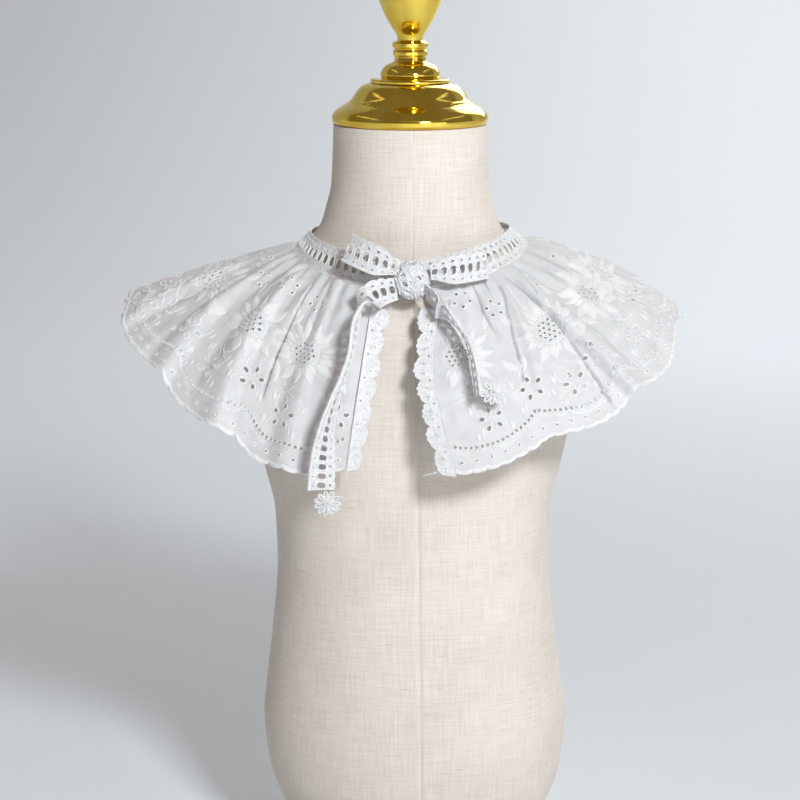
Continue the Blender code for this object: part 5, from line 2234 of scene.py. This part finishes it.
@dataclass(frozen=True)
class Studio:
    """Pale floor and wall, soft lights and the photo's camera."""

    wall_distance: float = 2.7
    sweep: float = 1.0
    wall_height: float = 4.0
    half_span: float = 16.0
    wall: Colour = (0.73, 0.765, 0.8)
    world: Colour = (1.0, 0.865, 0.745)
    world_strength: float = 0.19
    lens: float = 110.6
    camera_place: Triple = (-0.0022, -1.4761, 0.5775)
    camera_pitch: float = 78.6
    lamps: tuple[Lamp, ...] = tuple(Lamp(*row) for row in (
        ("key", (0.66, -1.64, 1.31), (0.0, 0.0, 0.27), 0.34, 32.5, (0.955, 0.985, 1.0)),
        ("fill", (1.3, -1.9, 0.35), (0.0, 0.0, 0.25), 1.6, 7.0, (1.0, 0.96, 0.91)),
        ("back", (0.8, 2.1, 1.6), (0.1, 0.4, 0.1), 1.5, 30.0, (0.96, 0.985, 1.0)),
        ("floor_front", (0.0, -6.5, 4.5), (0.0, -7.0, 0.0), 5.0, 430.0, (1.0, 0.98, 0.95), 110.0),
        ("floor_left", (-6.0, -0.5, 4.5), (-6.3, -0.5, 0.0), 5.0, 120.0, (1.0, 0.98, 0.95), 105.0),
        ("floor_right", (6.0, -0.5, 4.5), (6.3, -0.5, 0.0), 5.0, 120.0, (1.0, 0.98, 0.95), 105.0)))

    def backdrop(self) -> None:
        """A floor that curves up into the wall."""
        turn = np.linspace(0.0, 0.5 * math.pi, 24)
        back = self.wall_distance - self.sweep * (1.0 - np.sin(turn))
        y = np.concatenate(([-self.half_span], back, [self.wall_distance]))
        z = np.concatenate(([0.0], self.sweep * (1.0 - np.cos(turn)), [self.wall_height]))
        points = np.concatenate([np.stack([np.full_like(y, x), y, z], -1)
            for x in (-self.half_span, self.half_span)])
        count = len(y)
        first = np.arange(count - 1)
        quads = np.stack([first, first + count, first + count + 1, first + 1], -1)
        mesh = bpy.data.meshes.new("backdrop")
        mesh.from_pydata(points.tolist(), [], quads.tolist())
        mesh.materials.append(Plain("wall", self.wall).material())
        mesh.shade_smooth()
        linked("backdrop", mesh)

    def light(self) -> None:
        """Lamps and an even world."""
        for lamp in self.lamps:
            data = bpy.data.lights.new(lamp.name, "AREA")
            data.size = lamp.size
            data.energy = lamp.power
            data.color = lamp.colour
            data.spread = math.radians(lamp.spread)
            made = linked(lamp.name, data)
            made.location = lamp.place
            aim = Vector(lamp.target) - Vector(lamp.place)
            made.rotation_euler = aim.to_track_quat("-Z", "Y").to_euler()
        world = bpy.data.worlds.new("studio")
        world.use_nodes = True
        background = world.node_tree.nodes["Background"]
        background.inputs["Color"].default_value = (*self.world, 1.0)
        background.inputs["Strength"].default_value = self.world_strength
        bpy.context.scene.world = world

    def shoot(self) -> None:
        """The camera, and plain colours."""
        data = bpy.data.cameras.new("camera")
        data.lens = self.lens
        data.sensor_width = 36.0
        made = linked("camera", data)
        made.location = self.camera_place
        made.rotation_euler = (math.radians(self.camera_pitch), 0.0, 0.0)
        bpy.context.scene.camera = made
        bpy.context.scene.view_settings.view_transform = "Standard"

    def build(self) -> None:
        """Sets up backdrop, lights and camera."""
        self.backdrop()
        self.light()
        self.shoot()


def main() -> None:
    """Dresses the part, logging the count of CAD nodes first, then sets up the studio."""
    logging.basicConfig(level=logging.INFO, format="%(name)s: %(message)s")
    LOG.info("frame: %d nodes of CAD", len(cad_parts))
    finishes = Finishes.made()
    cape = Cape()
    Form().build(finishes)
    Turned("neck_cap", CAP_PROFILE).build(finishes)
    Turned("finial", FINIAL_PROFILE, 96).build(finishes)
    cape.build(finishes)
    Bow(cape.surface).build(finishes)
    trim = FrontTrim()
    trim.build("trim_right", TrimRibbon(cape.surface, 0.0, -1.0, (0.0, 8.0)), finishes)
    trim.build("trim_left", TrimRibbon(cape.surface, 1.0, 1.0, (10.0, 48.0)), finishes)
    Daisy((-0.0475, -0.115, 0.2443)).build("pendant_left", finishes)
    Daisy((0.0467, -0.106, 0.307)).build("pendant_right", finishes)
    dress(ThreadEnds().shape().build("thread_ends", finishes.thread), Slot.LACE)
    Studio().build()


if __name__ == "__main__":
    main()
